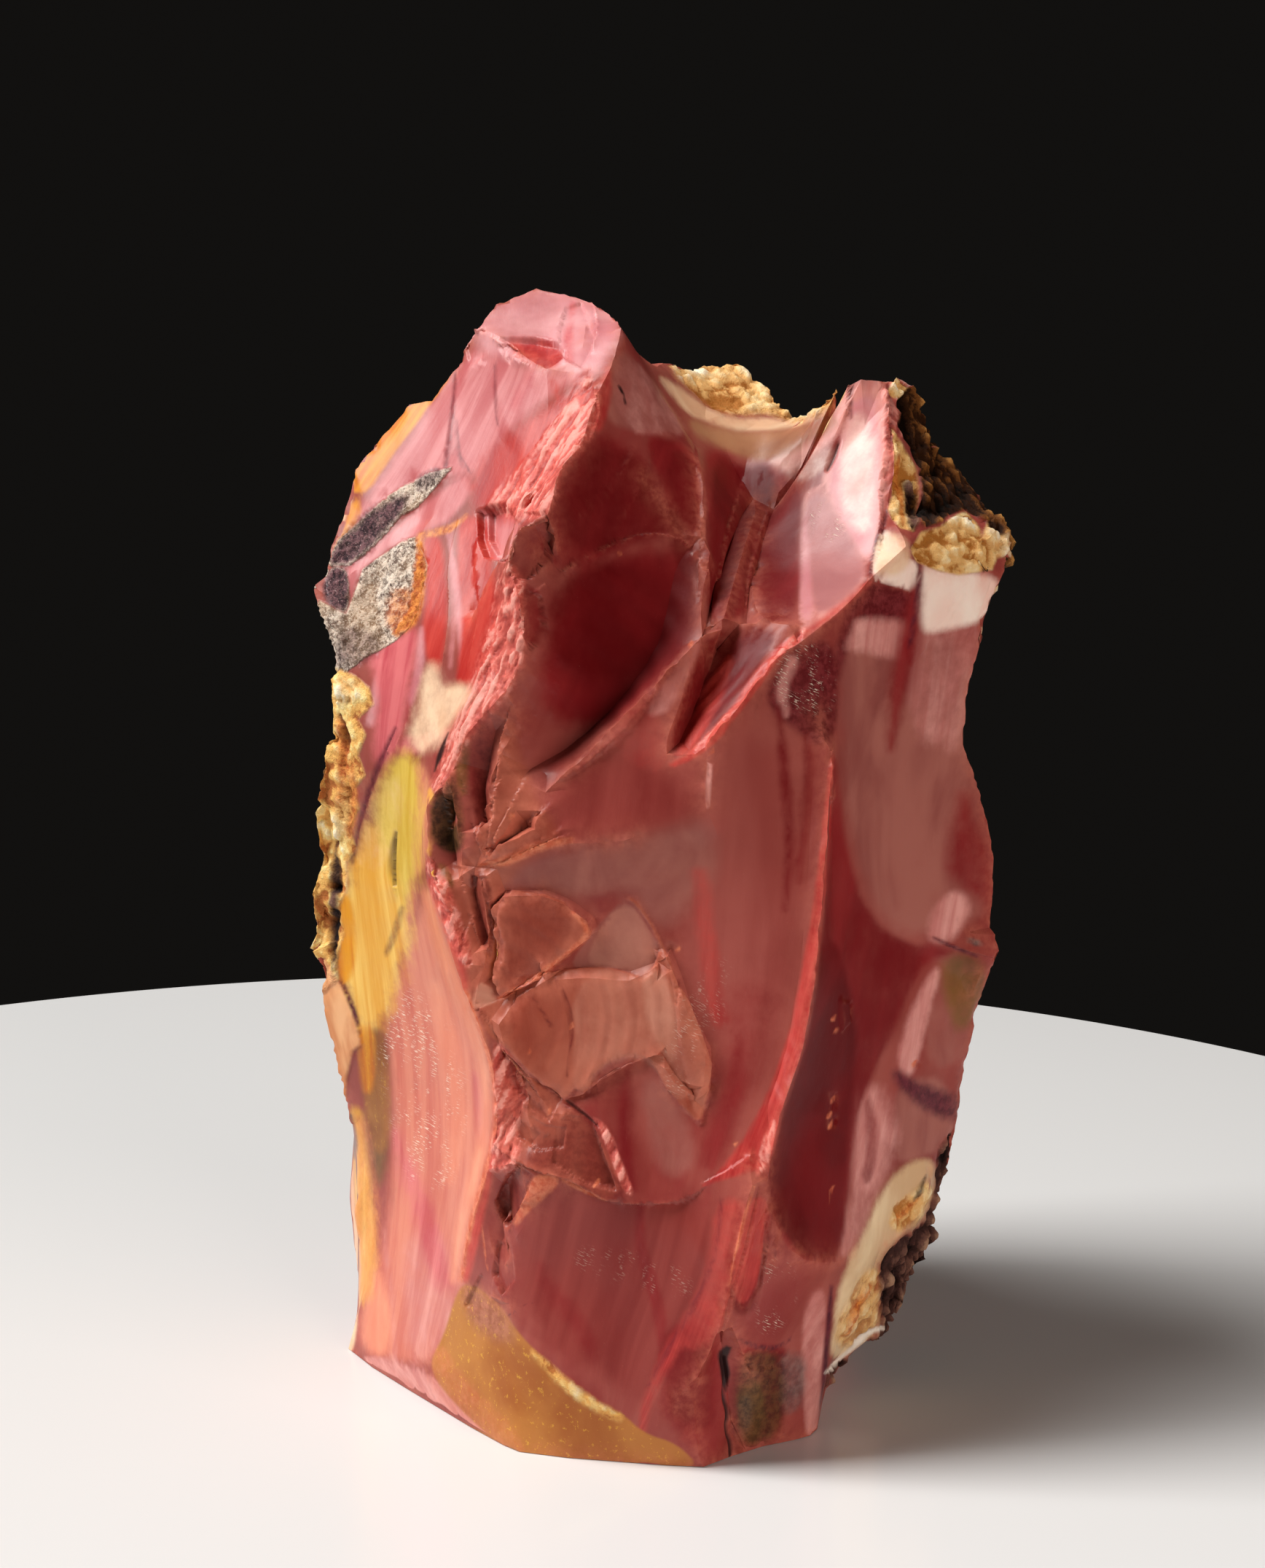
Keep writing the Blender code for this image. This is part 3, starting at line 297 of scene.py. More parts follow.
def paint_roses(marks):
    """Rose, pink and mauve of the broad faces."""
    patch, stroke = marks.patch, marks.stroke
    # light rose and brick red of the large front scar, and of the scar at its foot
    patch("rose", [(6, 92), (13, 97), (20, 96), (24, 88), (24, 72), (22, 58), (18, 46), (12, 46),
                   (9, 56), (6, 66), (8, 78)], 4.0, 0.9)
    patch("rose", [(-9, 96), (-2, 98), (2, 95), (0, 90), (-8, 90)], 3.0, 0.2)
    patch("brick", [(-17, 26), (-9, 27), (0, 24), (11, 26), (13, 16), (8, 4), (2, -8), (-6, -3),
                    (-14, 3), (-17, 12)], 2.0, 0.9)
    patch("brick", [(-16, 92), (-6, 95), (4, 92), (10, 84), (0, 81), (-10, 81)], 3.0, 0.7)
    patch("brick", [(-3, 46), (0, 44), (0.6, 36), (2, 29), (8, 26), (-2, 26), (-6, 34), (-4, 42)], 1.2, 0.4)
    patch("dusk", [(1, 45), (6, 41), (9, 35), (9.6, 30), (6, 28), (3, 33)], 1.4, 0.5)
    # grey-rose: broad right face, flank of the tall peak, band under the hinge
    patch("dusk", [(30, 113), (50, 111), (50, 95), (53.5, 80), (53, 69), (46, 66), (40, 66), (36, 70),
                   (33, 78), (31, 88), (30.5, 100)], 1.6, 0.9)
    patch("dusk", [(-5, 147), (-2, 153), (2, 149), (5, 144), (8, 139.8), (4, 140.6), (0, 140.5),
                   (-3.4, 141.4)], 0.6, 0.7)
    patch("pink", [(-3, 147), (-1, 151), (2, 148), (5, 144), (8, 139.8), (4, 140.6), (0, 140.5)], 1.0, -0.4)
    patch("dusk", [(-17, 77), (-8, 79.4), (2, 81), (11, 83.5), (13, 76), (8, 70), (4, 66), (0, 72),
                   (-4, 73), (-9, 71), (-13, 73.4), (-18, 73.5)], 2.0, 0.8)
    patch("dusk", [(-6, 66.3), (-2, 70.8), (0, 70.6), (3.2, 65.8), (4.2, 63.8), (3, 60.2), (1.3, 59.2),
                   (-0.4, 59.9), (-3.4, 60.9), (-10.1, 60.5)], 0.3)
    patch("dusk", [(40.4, 44), (48, 44), (49, 33), (45, 32), (40, 30), (38.8, 36)], 0.8)
    patch("dusk", [(46, 61), (50, 60), (51, 52), (49, 46), (44, 46), (44.6, 54)], 1.0, 0.2)
    # dark mauve under the diagonal ridge and in the angular flakes at the right shoulder
    patch("mauve", [(24.2, 109.6), (29.5, 110.2), (30.2, 104), (30, 97), (28, 94), (25, 96), (22, 98),
                    (19.6, 101), (20.5, 105)], 0.8, 0.8)
    patch("mauve", [(34.8, 118.8), (37, 118.4), (39.6, 117.4), (41.4, 117), (40.8, 112.2), (33, 112.6)],
          0.35, 0.9, sharp=True)
    stroke("mauve", [(34.2, 118.8, 0.6), (32.5, 114.4, 1.8), (30.8, 109, 1.6), (29.7, 104.2, 1.0)], 0.8, 0.6)
    # pale pink
    patch("pink", [(31.5, 149), (38, 148), (37.5, 141), (37, 134), (36.2, 128), (35.2, 121.5),
                   (33.5, 121.5), (31, 128), (29.5, 131), (27, 133), (29, 136.5), (30.5, 140)], 0.7)
    patch("pink", [(24.5, 130.5), (27, 133), (29.5, 131), (33, 124.5), (34.5, 119.5), (31, 115),
                   (29, 113.5), (25, 110), (24.4, 114), (24.8, 120), (24.5, 127)], 0.5, 0.5)
    patch("pink", [(32.6, 113), (36.4, 113), (40.2, 112.8), (39.8, 107.2), (35, 108), (31.4, 108.8)],
          1.0, 0.5, sharp=True)
    patch("pink", [(45, 61), (42, 55), (40.5, 50), (40, 45), (42, 43.5), (43.5, 48), (44.5, 55),
                   (46.5, 60.5)], 0.7, 0.9)
    patch("pink", [(33.4, 42), (37.4, 42.6), (39.6, 37), (38.8, 31), (37, 26), (34.5, 25), (33.2, 28),
                   (32.8, 35)], 1.8, 0.8)
    patch("pink", [(33, 25), (36.6, 24), (35.6, 18.6), (33.5, 16), (31.5, 16), (31.6, 21)], 1.4, 0.1)
    patch("pink", [(29.4, 11), (27.2, 9), (26.4, 5), (26.2, 0), (26.4, -8), (27.2, -13.5),
                   (29, -12), (29, -4), (29.5, 4)], 0.8, 0.2)
    patch("pink", [(44, 65), (45, 70.5), (48, 73), (50.5, 71), (49, 66.5), (46.5, 64.8)], 1.0, 0.7)
    patch("pink", [(41.3, 111.3), (45, 111.3), (51, 112.6), (50.6, 104), (49.6, 95), (44, 95), (41, 101)],
          2.4, -0.1)
    patch("pink", [(-44.5, 1), (-31, -2.4), (-24, -11), (-17, -16.5), (-30, -11)], 0.4, 0.9)
    patch("pink", [(10, 111), (8.6, 106), (6, 100.4), (2, 98.6), (4, 103), (8, 108.6)], 0.8, 0.0)
    stroke("pink", [(16, 131.6, 1.0), (20, 134.6, 2.2), (25, 137.6, 2.6), (29.6, 140.6, 2.0),
                    (31, 146, 1.6)], 0.8, 0.9)
    stroke("pink", [(-36.5, 0), (-36.8, 8), (-37.6, 15), (-38, 21)], 0.8)
    patch("pink", [(-35, 0), (-29.4, 0), (-27.4, 8), (-27.5, 16), (-31, 20), (-34, 18)], 2.5, 0.2)
    stroke("pink", [(22.6, 99, 0.8), (21.8, 103, 1.6), (23.6, 107, 1.2)], 0.8, 0.4)
    # cool, nearly white pink
    patch("lilac", [(-23, 156), (-19.6, 159.5), (-13.8, 162), (-6, 161), (-1, 157), (-3.4, 151),
                    (-6, 148.5), (-11, 149), (-17, 150), (-22, 151)], 1.4)
    patch("lilac", [(31.5, 145), (35, 146), (35.8, 140), (36, 133), (35.8, 125), (34.4, 121), (31, 126),
                    (28, 132), (29.5, 137), (31.4, 142)], 0.8, 0.9)
    patch("bloom", [(31, 149.6), (36, 149), (36.4, 146.6), (31.4, 146.4)], 0.6, 0.4)
    patch("shell", [(31.6, 143), (34.6, 142), (35, 134), (34.6, 126), (33, 126), (30.4, 131), (30.6, 136)],
          1.4, 0.1)
    patch("shell", [(20, 136.6), (25, 138.4), (29, 139.4), (27.4, 134.4), (22, 133.6)], 1.2, -0.2)
    patch("lilac", [(24.4, 112), (26.6, 113), (26.4, 120), (26.2, 128), (24.6, 129)], 0.6, 0.5)
    patch("bloom", [(26.6, 113.4), (30, 115), (34.4, 119.4), (33, 123.4), (30, 128), (27.4, 132.4),
                    (25, 130.4), (26, 122)], 0.6, 1.0)
    patch("shell", [(41.5, 111.3), (45, 111.3), (48, 112.2), (51, 112.8), (53.4, 113.4), (53.8, 119),
                    (50, 120), (45.6, 120), (42, 121.8)], 0.8, 1.2)
    patch("shell", [(35.5, 118.8), (37, 118.4), (39.6, 117.6), (41.4, 117.2), (42, 121.4), (39.6, 122.2)],
          0.3, 1.0, sharp=True)
    patch("shell", [(35.3, 118.8), (35, 122), (36.6, 126.6), (38.6, 124.6), (39.8, 122.6)], 0.5, 0.6)
    patch("lilac", [(-31.4, 112), (-30.2, 112), (-30.6, 106), (-32.4, 100), (-33.4, 101), (-32, 106)],
          0.5, 0.6)
    patch("lilac", [(-42.6, 98), (-40.5, 97.5), (-40.7, 94.6), (-42.6, 94.2), (-44, 96)], 0.6, 0.4)
    stroke("lilac", [(-36.4, 108, 0.6), (-37.4, 103, 1.4), (-38.6, 98, 1.2)], 0.8, 0.4)
    stroke("lilac", [(-34, 104.6, 0.6), (-35, 100, 1.2), (-36, 96, 0.6)], 0.7, 0.3)
    # the same, dimmer: left of the tall peak and between the crystal pockets
    patch("blush", [(-23, 153), (-17, 150), (-11, 149), (-6, 148.5), (-11, 146), (-16, 142),
                    (-19.6, 138), (-22, 134), (-26, 134), (-30, 133.6), (-35, 131), (-40, 126.6),
                    (-44, 123), (-41, 128), (-38, 131.5), (-36, 134.5), (-33.5, 138), (-31, 141),
                    (-29, 144.5), (-25.5, 149.4)], 1.2)
    patch("blush", [(-41, 121.2), (-36, 125.4), (-31, 129.2), (-26.5, 132.8), (-24, 134.5), (-23.2, 132),
                    (-25, 129.3), (-27.5, 127), (-31, 125.6), (-35, 124), (-39.5, 120.6), (-41.2, 117),
                    (-42, 113.5), (-43, 115), (-42.2, 119)], 0.6)
    patch("blush", [(-22.6, 129.2), (-18.5, 129.3), (-16.5, 127), (-17.6, 124), (-18.6, 121.5),
                    (-21.6, 122)], 0.25, 0.9, sharp=True)
    stroke("blush", [(-26.4, 126.6, 0.2), (-26, 120, 0.6), (-25.7, 113, 0.5), (-26.6, 106, 0.2)], 0.5, 0.0)


def paint_reds(marks):
    """Raspberry, salmon pink, burgundy and bright red between them."""
    patch, stroke = marks.patch, marks.stroke
    # raspberry
    patch("rasp", [(-39.4, 108), (-36, 109.6), (-33, 111.6), (-31.4, 111.6), (-31.6, 107), (-33, 102),
                   (-33.8, 97), (-35, 93.2), (-37, 91), (-38.5, 94), (-38, 99), (-37.3, 103)], 1.1)
    patch("rasp", [(-34.6, 92.6), (-32, 93.2), (-29.5, 94.8), (-26.8, 96.8), (-28, 97.2), (-31, 95.8),
                   (-33.6, 96)], 0.7, 0.6)
    stroke("rasp", [(-36, 35, 0.8), (-33.6, 28, 2.0), (-31, 20, 3.0), (-28.8, 12, 2.4)], 1.8, 0.3)
    stroke("rasp", [(-23.6, 44, 0.8), (-22.8, 39, 1.4), (-22.8, 34, 0.8)], 1.0, 0.2)
    stroke("rasp", [(-8.6, 158.6, 0.6), (-9.3, 154, 0.8), (-9.2, 150.6, 0.8)], 0.6, 0.1)
    stroke("rasp", [(-13, 152.6, 0.5), (-15, 148, 1.0), (-17, 144, 0.6)], 0.8, 0.0)
    # pink-salmon of the long left scar; peach beside the ridge, a painted glow as of light through its thin
    # edge
    patch("coral", [(-42, 0), (-31, -2.4), (-28.5, 4), (-26, 11), (-24.8, 20), (-21.8, 29.5), (-20.6, 35),
                    (-20.6, 42), (-22.3, 50), (-25, 57), (-28, 66), (-29.5, 74), (-31.5, 72.5), (-33, 66),
                    (-36, 60), (-37.2, 52), (-36.4, 44), (-36, 35), (-37, 24), (-39, 14), (-41.5, 8)], 1.6)
    patch("coral", [(-33.6, 76.4), (-31.8, 72), (-33, 66), (-36.6, 60), (-38, 62), (-35, 68)], 1.2, 0.5)
    stroke("peach", [(-30.4, 72, 0.6), (-28.4, 64, 1.8), (-25.6, 56, 1.6), (-22.8, 48, 1.4),
                     (-22, 41, 1.2), (-22.6, 34, 1.2), (-24.6, 26, 1.4), (-26.6, 18, 1.2),
                     (-27.4, 12, 0.6)], 1.2, 0.5)
    stroke("peach", [(-29.6, 58, 0.6), (-26.8, 48, 2.6), (-26.2, 38, 2.4), (-27.6, 28, 0.8)], 1.8, 0.2)
    patch("peach", [(-41.4, 1), (-37.6, 0), (-37, 6), (-38.6, 14), (-40.4, 13)], 1.2, 0.5)
    patch("peach", [(-33.8, 90), (-31, 92), (-30, 86), (-30.6, 78), (-32.6, 74), (-33.4, 80)], 1.2, 0.2)
    # burgundy
    patch("wine", [(29.8, 94), (30.5, 88), (31.5, 80), (33.5, 73), (36, 68), (40, 64.8), (45, 64.2),
                   (49, 63.2), (44, 62), (42.6, 59), (40.2, 54), (38.5, 49), (36, 44), (34, 38),
                   (33, 28), (32.2, 20), (31, 14.8), (29, 14.6), (26.2, 15.3), (23.5, 17.4), (21.6, 21),
                   (20.4, 26), (21.3, 33), (23, 39.5), (25.8, 48), (27.4, 56.5), (28.4, 70), (28.9, 80),
                   (29.3, 88)], 0.8, 0.7)
    patch("wine", [(46.5, 75), (48, 84), (49.6, 88.4), (52, 82), (54, 76), (53.5, 70), (51, 72)], 2.0, 0.5)
    stroke("wine", [(21.6, 100, 0.6), (22.6, 90, 1.6), (23.4, 80, 1.2), (22.8, 70, 0.6)], 0.9, 0.6)
    stroke("wine", [(25.6, 96, 0.8), (26.2, 90, 1.2), (25.6, 82, 1.0), (24.6, 74, 0.6)], 0.8, 0.2)
    stroke("wine", [(16, 50, 1.0), (15.4, 43, 3.0), (13.6, 36, 3.4), (11.5, 31, 2.0)], 2.0, 0.4)
    stroke("wine", [(-0.6, 46, 0.8), (-1.4, 40, 1.6), (-1.4, 34, 2.0), (0, 27, 1.0)], 1.0, 0.8)
    stroke("wine", [(1.2, 24, 0.8), (1.0, 18, 1.2), (2.2, 14, 1.6), (3.4, 10, 1.6), (4.4, 5, 1.4),
                    (4.8, 0, 1.0)], 0.8, 0.2)
    stroke("wine", [(-14, 14, 1), (-12.4, 10, 1.6), (-8, 5, 1.6), (-6, 0, 1)], 1.6, 0.0)
    stroke("wine", [(35.4, 40, 0.6), (36.6, 34.4, 1.2), (35.6, 28, 0.6)], 1.0, 0.0)
    # own burgundy painted deeper as shade above the bowl's lip, in the flutes, upper bowl and lens
    patch("wine", [(-12, 132), (-6, 141), (0, 137.6), (4, 132), (7, 126), (1, 124.6), (-6, 121.4),
                   (-11, 119.8), (-14, 124)], 1.6, 0.5)
    patch("wine", [(10, 138), (12.8, 137.4), (16.2, 134.6), (20, 136), (24, 133), (25, 129),
                   (23.6, 122), (19, 121), (18, 117), (16, 112.8), (11, 112.6), (10.5, 120), (10.3, 128)],
          0.8, 1.0)
    patch("wine", [(1, 140.3), (8.4, 138.6), (9.8, 134), (9.8, 126), (7.4, 125.6), (4.6, 131)], 0.7, 0.9)
    patch("wine", [(-12, 110), (-9, 120), (2, 124), (8, 123), (9.8, 117), (9, 109), (5, 103), (0, 99),
                   (-6, 97), (-12, 98), (-14, 104)], 2.0, 0.9)
    patch("wine", [(10.5, 110.6), (15.6, 112.2), (21.6, 111.6), (19.0, 107), (13.6, 98.6), (8, 93.2),
                   (5.3, 92), (6.8, 100)], 0.5, 0.9)
    patch("wine", [(13.2, -1), (14.6, -10), (15, -17), (12, -17.6), (9, -14), (6, -13)], 1.4, 0.3)
    patch("wine", [(16.4, 1.6), (24, 1.4), (23.6, -1), (23, -13), (21.4, -13.6), (21, -3), (16.4, -1)],
          0.8, 0.9)
    patch("wine", [(15.6, 15), (14.6, 8), (17.4, 7), (19.4, 11), (20, 17)], 0.5, 0.8)
    patch("wine", [(-24.8, 97), (-22.4, 99), (-20.6, 96), (-21.4, 86), (-23.4, 84), (-24.2, 90)], 0.8, 0.2)
    patch("wine", [(-16.6, 128.6), (-13, 128.8), (-11.4, 126), (-12, 122), (-15, 119), (-18.1, 119.5),
                   (-17.8, 122.5), (-16.6, 125)], 0.5, 0.0, sharp=True)
    patch("wine", [(-18, 118.6), (-14, 118), (-12.6, 112), (-15, 108.4), (-16.8, 112)], 0.4, 0.3)
    # the darkest red, the stone's own red painted darker as shade: hollows of the upper scars and
    # the lens of the right foot
    patch("garnet", [(11.4, 138), (16, 134.6), (20, 136), (21.4, 131), (19, 124), (18, 117), (14, 113),
                     (11.4, 114), (11, 124)], 1.0, 0.9)
    patch("garnet", [(-13, 112), (-11, 119), (-4, 122), (5, 121), (8, 116), (5, 108), (-1, 104), (-8, 104),
                     (-12, 107)], 2.4, 0.6)
    patch("garnet", [(-10, 131), (-5, 139), (2, 136), (6, 129), (4, 125.4), (-4, 123.4), (-10, 124)],
          2.0, 0.3)
    patch("garnet", [(5, 138), (8.6, 137), (9.6, 130), (9.8, 118), (6, 121), (5, 128)], 0.9, 0.5)
    patch("garnet", [(21.6, 21), (20.4, 26), (21.3, 33), (23, 39.5), (25.8, 48), (27.4, 56.5), (28.4, 66),
                     (31, 64), (33, 56), (34, 48), (33, 38), (32.4, 28), (32, 20), (31, 14.8),
                     (26.2, 15.3)], 0.7, 0.9)
    patch("garnet", [(8, 98), (10.5, 108), (14, 111), (21, 111.4), (19, 106), (14, 99), (8, 93.4)], 1.0, 0.8)
    patch("garnet", [(14.6, 8), (15.6, 15), (18.6, 13), (19, 8), (16.6, 6)], 0.6, 0.5)
    patch("garnet", [(14.6, -0.6), (20.6, 0.6), (22, -12), (18, -17), (15.4, -17)], 1.2, 0.3)
    # bright red
    patch("scarlet", [(-31, 125), (-28.4, 126), (-27.2, 121), (-27, 112), (-28.6, 104), (-30.6, 108),
                      (-30.6, 114), (-30, 119)], 0.7)
    patch("scarlet", [(-25.6, 126), (-23.4, 128.6), (-21.4, 127), (-20.4, 121), (-19, 113), (-21.4, 105),
                      (-25.6, 102.4), (-25, 108), (-24.8, 114)], 0.9)
    patch("scarlet", [(-25.4, 127.6), (-23.4, 128.6), (-22.9, 123), (-22.4, 117), (-21.4, 110), (-23.4, 104),
                      (-26, 103), (-25.2, 108), (-24.8, 114), (-25.4, 121)], 0.6, 0.9)
    patch("blood", [(-22, 137), (-18, 140.5), (-13, 143.6), (-8, 147), (-5.5, 147), (-6.5, 141), (-8, 138),
                    (-11, 135), (-12.5, 130), (-17, 127.5), (-22.5, 129), (-23.8, 131.5)], 1.8, 0.9)
    patch("scarlet", [(-19, 139), (-13, 143), (-10, 142), (-13, 137), (-17, 133), (-21, 134)], 1.6, 0.3)
    stroke("scarlet", [(-11.6, 147.4, 0.4), (-9.6, 144, 2.0), (-11, 139.6, 1.2), (-14.6, 134.6, 0.6)],
           0.9, 0.4)
    stroke("blood", [(-24.6, 134, 0.3), (-22, 131.4, 1.4), (-18.6, 130.4, 0.8)], 0.7, 0.4)
    stroke("blood", [(-24.6, 127, 0.3), (-24, 120, 0.8), (-23.4, 112, 0.8), (-25.4, 104, 0.3)], 0.6, 0.2)
    patch("blood", [(29.4, 93), (28.6, 85), (28.1, 80), (27.2, 72), (26.2, 65), (25, 58), (23.4, 50),
                    (20, 40), (16, 33), (12.4, 28.2), (10, 26.6), (14, 28), (18, 29), (20.5, 30.5),
                    (21.6, 33), (22.8, 40), (25.5, 47.7), (27.3, 58), (28.4, 70), (28.9, 78.6),
                    (29.4, 87), (29.8, 93.4)], 0.45, 0.9)
    patch("blood", [(13.5, 24.6), (12.5, 17), (10, 9), (6.6, 3), (8, 1), (12, 2), (14.5, 8), (15, 11),
                    (16.5, 18), (17.5, 24)], 1.2, 0.0)
    patch("wine", [(15.4, 23), (14.4, 16), (12, 9), (10, 6), (13, 4), (15, 9), (16.6, 17), (17, 23)],
          0.8, 0.4)
    stroke("blood", [(9, 6, 2.0), (5, -1, 1.6), (2, -8, 1.0), (1.4, -12, 0.4)], 1.0, 0.3)
    patch("blood", [(17, 24), (21, 26), (20, 16), (18, 8), (15, 9), (16, 16)], 0.5, 0.3)
    stroke("blood", [(26, 111.6, 0.4), (22, 109, 1.4), (20, 106.4, 1.6), (16.5, 101.6, 1.6),
                     (12.6, 96.4, 1.6), (9, 93, 1.2), (6, 91.6, 0.8)], 0.35)
    stroke("pink", [(11.5, 93.6, 0.2), (11.3, 90, 0.8), (11.2, 85, 0.2)], 0.3, 0.9)
    patch("wine", [(18, 112.6), (23.6, 112.6), (24.4, 118), (24.2, 128), (21.8, 130), (19, 124)], 0.8, 0.9)
    patch("blood", [(-2, 101), (2.4, 98.6), (4.4, 95), (4, 91.6), (1, 92.6), (-2.6, 96.4)], 1.8, -0.6)
    stroke("blood", [(-29.7, 74, 1.0), (-28, 69.5, 1.4), (-27, 66, 1.8), (-25.8, 62, 1.8),
                     (-25, 58, 1.0)], 0.7)
    stroke("blood", [(-20.3, 47, 0.8), (-20.2, 40, 1.2), (-20.8, 34, 1.2), (-21.6, 30, 1.4),
                     (-23.5, 22, 1.6), (-25, 15, 1.6), (-25.6, 12, 0.8)], 0.5)
    stroke("blood", [(24.6, 110.6, 0.8), (29, 113.6, 0.8), (34.6, 118.6, 0.6)], 0.6)
    stroke("blood", [(-18.8, 43.4, 0.6), (-18, 40, 1.6), (-17.4, 37.4, 0.4)], 0.4, 0.6)
    patch("blood", [(-18.6, 153.6), (-15, 153.9), (-12, 153.6), (-10.2, 152.2), (-9.7, 150.6),
                    (-11.6, 149.4), (-14.6, 149.8), (-17, 151.4)], 0.45, 0.8)
    patch("bloom", [(-22.6, 155.6), (-19.8, 159), (-14, 161.4), (-11, 160.6), (-11, 154), (-17, 154.2)],
          1.2, -0.1)
    stroke("blood", [(-3.6, 149, 1.2), (-4, 145, 2.0), (-5.4, 141, 1.4)], 0.6, 0.8)
    # painted shade over the foot beside the lower ridge: burgundy, dark olive and the darkest red
    patch("wine", [(5, 4), (10, 6), (13.4, 3), (13.6, -4), (13, -14), (8, -14), (4, -9), (5, -2)], 1.2)
    patch("murk", [(16.6, 0.4), (23.4, 0.4), (23, -12.6), (18, -15), (16, -12)], 1.4, 0.3)
    patch("garnet", [(5, 3), (9, 4), (12.6, 0), (12.6, -12), (9, -12), (5, -7)], 2.0, 0.4)
    # painted light: a brighter red laid into the slit under the lens to lift its shadow
    patch("scarlet", [(6, 92.6), (8.6, 97.6), (12.6, 106.4), (15, 108.4), (13, 101), (9, 94)], 0.9, 0.6)
    patch("wine", [(13, 56), (19, 58), (22, 52), (19, 44), (13, 42)], 3.0, -0.3)
    patch("tan", [(-16, 75), (-8, 77), (2, 79), (9, 81), (6, 75), (-2, 74), (-10, 73)], 2.0, -0.6)
    stroke("blood", [(10, 75, 1.0), (11.4, 62, 2.0), (13, 53, 1.2)], 1.6, 0.0)


def paint_flakes(marks):
    """Salmon of the plates and the small flakes, and their bright thin edges."""
    patch, stroke = marks.patch, marks.stroke
    # salmon: plates, fan and petals, shelly chips under them
    patch("salmon", [(-19.8, 70.2), (-18.7, 71.3), (-18, 72.6), (-13.5, 72.1), (-11, 71.3), (-10, 70.8),
                     (-9.3, 69.6), (-6.6, 68), (-5.9, 66.3), (-6.4, 65.5), (-9.8, 63.1), (-12.1, 60.9),
                     (-14.8, 59.2), (-19.8, 56.4), (-20.8, 57.8), (-21, 59.3), (-19.5, 61.9),
                     (-19.2, 64.6), (-20.2, 67.7)], 0.25)
    patch("salmon", [(-23.5, 55), (-19.8, 56), (-16.8, 57.8), (-12.8, 60.3), (-10.1, 60.5), (-6.4, 60.9),
                     (-3.4, 60.9), (-0.4, 59.9), (1.3, 59.2), (3, 60.2), (4.2, 63.8), (3.4, 66), (1.7, 69),
                     (-0.9, 71.7), (0.6, 71.4), (3.6, 66.6), (5.3, 62.6), (7.1, 57.8), (8.5, 55.1),
                     (10.1, 51.3), (11.8, 46.2), (11.4, 40.4), (10.2, 36.5), (7.8, 39), (5.1, 42.4),
                     (3.7, 45.2), (2.9, 46.4), (1.4, 47.2), (-0.3, 47.4), (-3, 46.7), (-5, 45.2),
                     (-6.3, 43.8), (-6.5, 42.1), (-7.3, 41.6), (-8.8, 42.5), (-10, 40.4), (-12.2, 41.9),
                     (-15.5, 44.7), (-19.2, 48.9), (-22, 50.5)], 0.25)
    patch("salmon", [(-28, 76), (-29.5, 74.6), (-27, 68), (-25, 61), (-24, 54), (-20.5, 55.5), (-20.8, 58),
                     (-19.2, 62), (-20, 68), (-20, 71), (-17, 76.5), (-10, 79.8), (-13, 84.5), (-15, 88),
                     (-16.5, 93), (-18, 99), (-20, 95), (-21, 88), (-22.5, 82), (-24, 78)], 1.2, 0.6)
    patch("salmon", [(-20, 48), (-17, 45), (-12, 41), (-9, 38), (-6, 36), (-4, 32), (-1.5, 27), (-4, 25),
                     (-9, 28), (-14, 29), (-18.5, 30), (-20.5, 33)], 0.8, 0.2)
    patch("tan", [(-6, 60), (-1, 59.2), (4, 60), (6.6, 56), (8, 46), (8, 40), (4, 46), (0, 48), (-5, 46),
                  (-7, 42.6), (-8.6, 43), (-7.6, 50), (-8.6, 55)], 1.2, -0.3)
    patch("tan", [(1, 60), (4, 60.4), (6, 57), (7, 48), (6, 46), (3, 50)], 1.2, 0.2)
    patch("tan", [(7, 57), (8.5, 54), (10, 50.6), (11.4, 46), (11, 40.6), (10, 38), (8.8, 42), (8, 48)],
          0.8, -0.4)
    patch("tan", [(-5, 66.3), (-2, 70.4), (0, 70.2), (2.6, 65.8), (3.6, 63.8), (2.6, 60.6), (-0.4, 60.4),
                  (-3.4, 61.4), (-7, 61.5)], 0.5, -0.2)
    patch("petal", [(-19, 70), (-18, 72), (-13.5, 71.6), (-10, 70), (-9, 68), (-10.6, 64), (-14, 61),
                    (-19, 58), (-19.6, 61), (-18.6, 65)], 0.8, -0.4)
    patch("tan", [(-24.5, 54.5), (-23.6, 57.5), (-22.6, 58.6), (-21, 57.6), (-20.3, 55.6), (-22.5, 54.8)],
          0.3, 0.9, sharp=True)
    # dark petals and flakes where small scars cut across
    patch("petal", [(-10, 40), (-6, 37), (-5, 33), (-3.5, 30), (-1.5, 27), (-1, 25), (-4, 24.8),
                    (-9, 27.8), (-13, 29.8), (-15.6, 31), (-15.3, 34), (-11, 34)], 0.6, 0.1, sharp=True)
    patch("petal", [(-21, 24), (-19.5, 28), (-17, 30.5), (-15, 28), (-17.5, 22.5), (-18.5, 19.5),
                    (-20.5, 22)], 0.5, 0.1, sharp=True)
    patch("petal", [(-17, 44), (-13.5, 41.4), (-12.4, 37.6), (-15.4, 38.4), (-17.6, 41)], 0.6, -0.2)
    patch("petal", [(-24.6, 76), (-21.6, 75), (-20.4, 69), (-21.2, 62), (-22.6, 66), (-23.4, 71)], 0.5, 0.3)
    patch("petal", [(-22.4, 98), (-20.4, 97), (-20.8, 88), (-21.8, 82), (-23.6, 84), (-23.4, 92)], 0.6, 0.3)
    stroke("petal", [(-12, 60, 0.3), (-9.5, 55.4, 0.6), (-8.9, 50, 0.5), (-9.8, 44, 0.2)], 0.35, 0.5)
    stroke("petal", [(-15.2, 57, 0.2), (-12.2, 52, 0.4)], 0.4, 0.2)
